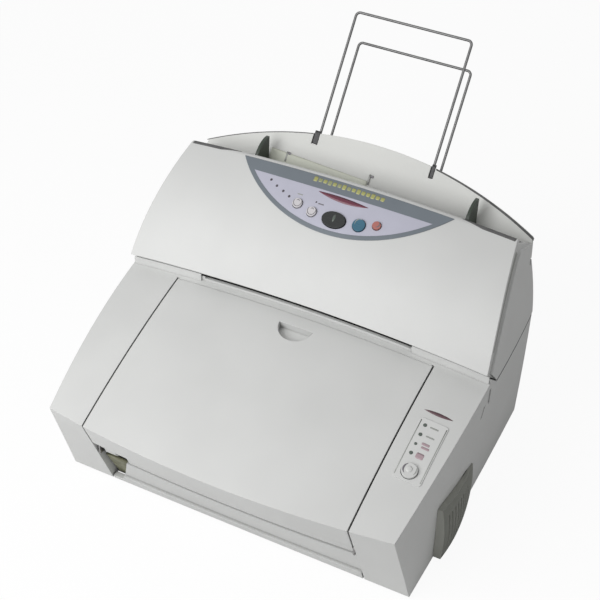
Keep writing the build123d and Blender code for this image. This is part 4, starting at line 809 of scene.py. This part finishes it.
def white_behind(tree, dim):
    """A shader that is white to the camera, in gloss and through glass, and of strength dim as light."""
    path = tree.nodes.new("ShaderNodeLightPath")
    seen = path.outputs["Is Camera Ray"]
    for name in ("Is Glossy Ray", "Is Transmission Ray"):
        either = tree.nodes.new("ShaderNodeMath")
        either.operation = "MAXIMUM"
        tree.links.new(seen, either.inputs[0])
        tree.links.new(path.outputs[name], either.inputs[1])
        seen = either.outputs["Value"]
    plain = tree.nodes.new("ShaderNodeBackground")
    plain.inputs["Strength"].default_value = dim
    white = tree.nodes.new("ShaderNodeBackground")
    both = tree.nodes.new("ShaderNodeMixShader")
    for shader in (plain, white):
        shader.inputs["Color"].default_value = (1, 1, 1, 1)
    tree.links.new(seen, both.inputs["Fac"])
    tree.links.new(plain.outputs["Background"], both.inputs[1])
    tree.links.new(white.outputs["Background"], both.inputs[2])
    return both.outputs["Shader"]


def make_sky():
    world = bpy.data.worlds.new("sky")
    bpy.context.scene.world = world
    world.use_nodes = True
    tree = world.node_tree
    output = tree.nodes["World Output"]
    tree.links.new(white_behind(tree, SKY_STRENGTH), output.inputs["Surface"])


def make_lamp():
    data = bpy.data.lights.new("soft_box", "AREA")
    data.energy = LAMP_POWER
    data.size = LAMP_SIZE * MM
    lamp = bpy.data.objects.new("soft_box", data)
    side = Vector(LAMP_SIDE).normalized()
    lamp.location = (Vector(LAMP_AIM) + side * LAMP_DISTANCE) * MM
    lamp.rotation_mode = "QUATERNION"
    lamp.rotation_quaternion = side.to_track_quat("Z", "Y")
    lamp.visible_camera = False
    bpy.context.collection.objects.link(lamp)


def make_floor():
    """A white floor that shows only a faint shadow."""
    half = 6.0
    mesh = bpy.data.meshes.new("floor")
    corners = [(-half, -half, 0), (half, -half, 0), (half, half, 0), (-half, half, 0)]
    mesh.from_pydata(corners, [], [(0, 1, 2, 3)])
    floor = bpy.data.objects.new("floor", mesh)
    floor.location.z = -0.2 * MM
    bpy.context.collection.objects.link(floor)
    look = Look("floor", 0.9, Specular_IOR_Level=0.1)
    paper = look.ramp(look.noise(300, 3), 0.3, 0.7, (FLOOR_PALE,) * 3, (FLOOR_PALE * 1.04,) * 3)
    path = look.node("LightPath")
    look.link(look.mix(path.outputs["Is Camera Ray"], paper, (0.97, 0.97, 0.97)), "Base Color")
    glow = look.node("Emission", Color=(1, 1, 1, 1), Strength=1.0)
    share = look.spread(path.outputs["Is Camera Ray"], 0, 1, 0, 0.93)
    both = look.node("MixShader", Fac=share)
    look.tree.links.new(look.shader.outputs["BSDF"], both.inputs[1])
    look.tree.links.new(glow.outputs["Emission"], both.inputs[2])
    look.tree.links.new(both.outputs["Shader"], look.tree.nodes["Material Output"].inputs["Surface"])
    mesh.materials.append(look.material)


def make_camera():
    data = bpy.data.cameras.new("camera")
    data.lens = CAMERA_LENS
    data.sensor_width = 36.0
    data.clip_start = 0.05
    data.clip_end = 20.0
    camera = bpy.data.objects.new("camera", data)
    place = Vector(CAMERA_PLACE) * MM
    aim = Vector(CAMERA_AIM) * MM
    facing = (aim - place).to_track_quat("-Z", "Y").to_matrix()
    roll = Matrix.Rotation(math.radians(CAMERA_ROLL), 3, "Z")
    camera.matrix_world = Matrix.Translation(place) @ (facing @ roll).to_4x4()
    bpy.context.collection.objects.link(camera)
    bpy.context.scene.camera = camera


make_camera()
make_sky()
make_lamp()
make_floor()
dress_nodes()
dress_panel()
dress_status()
dress_tray()
dress_notches()
dress_edges()
dress_seam_shade()
dress_chin()
dress_cover_seam()
dress_grooves()
dress_arm()
bpy.context.scene.view_settings.view_transform = "Standard"
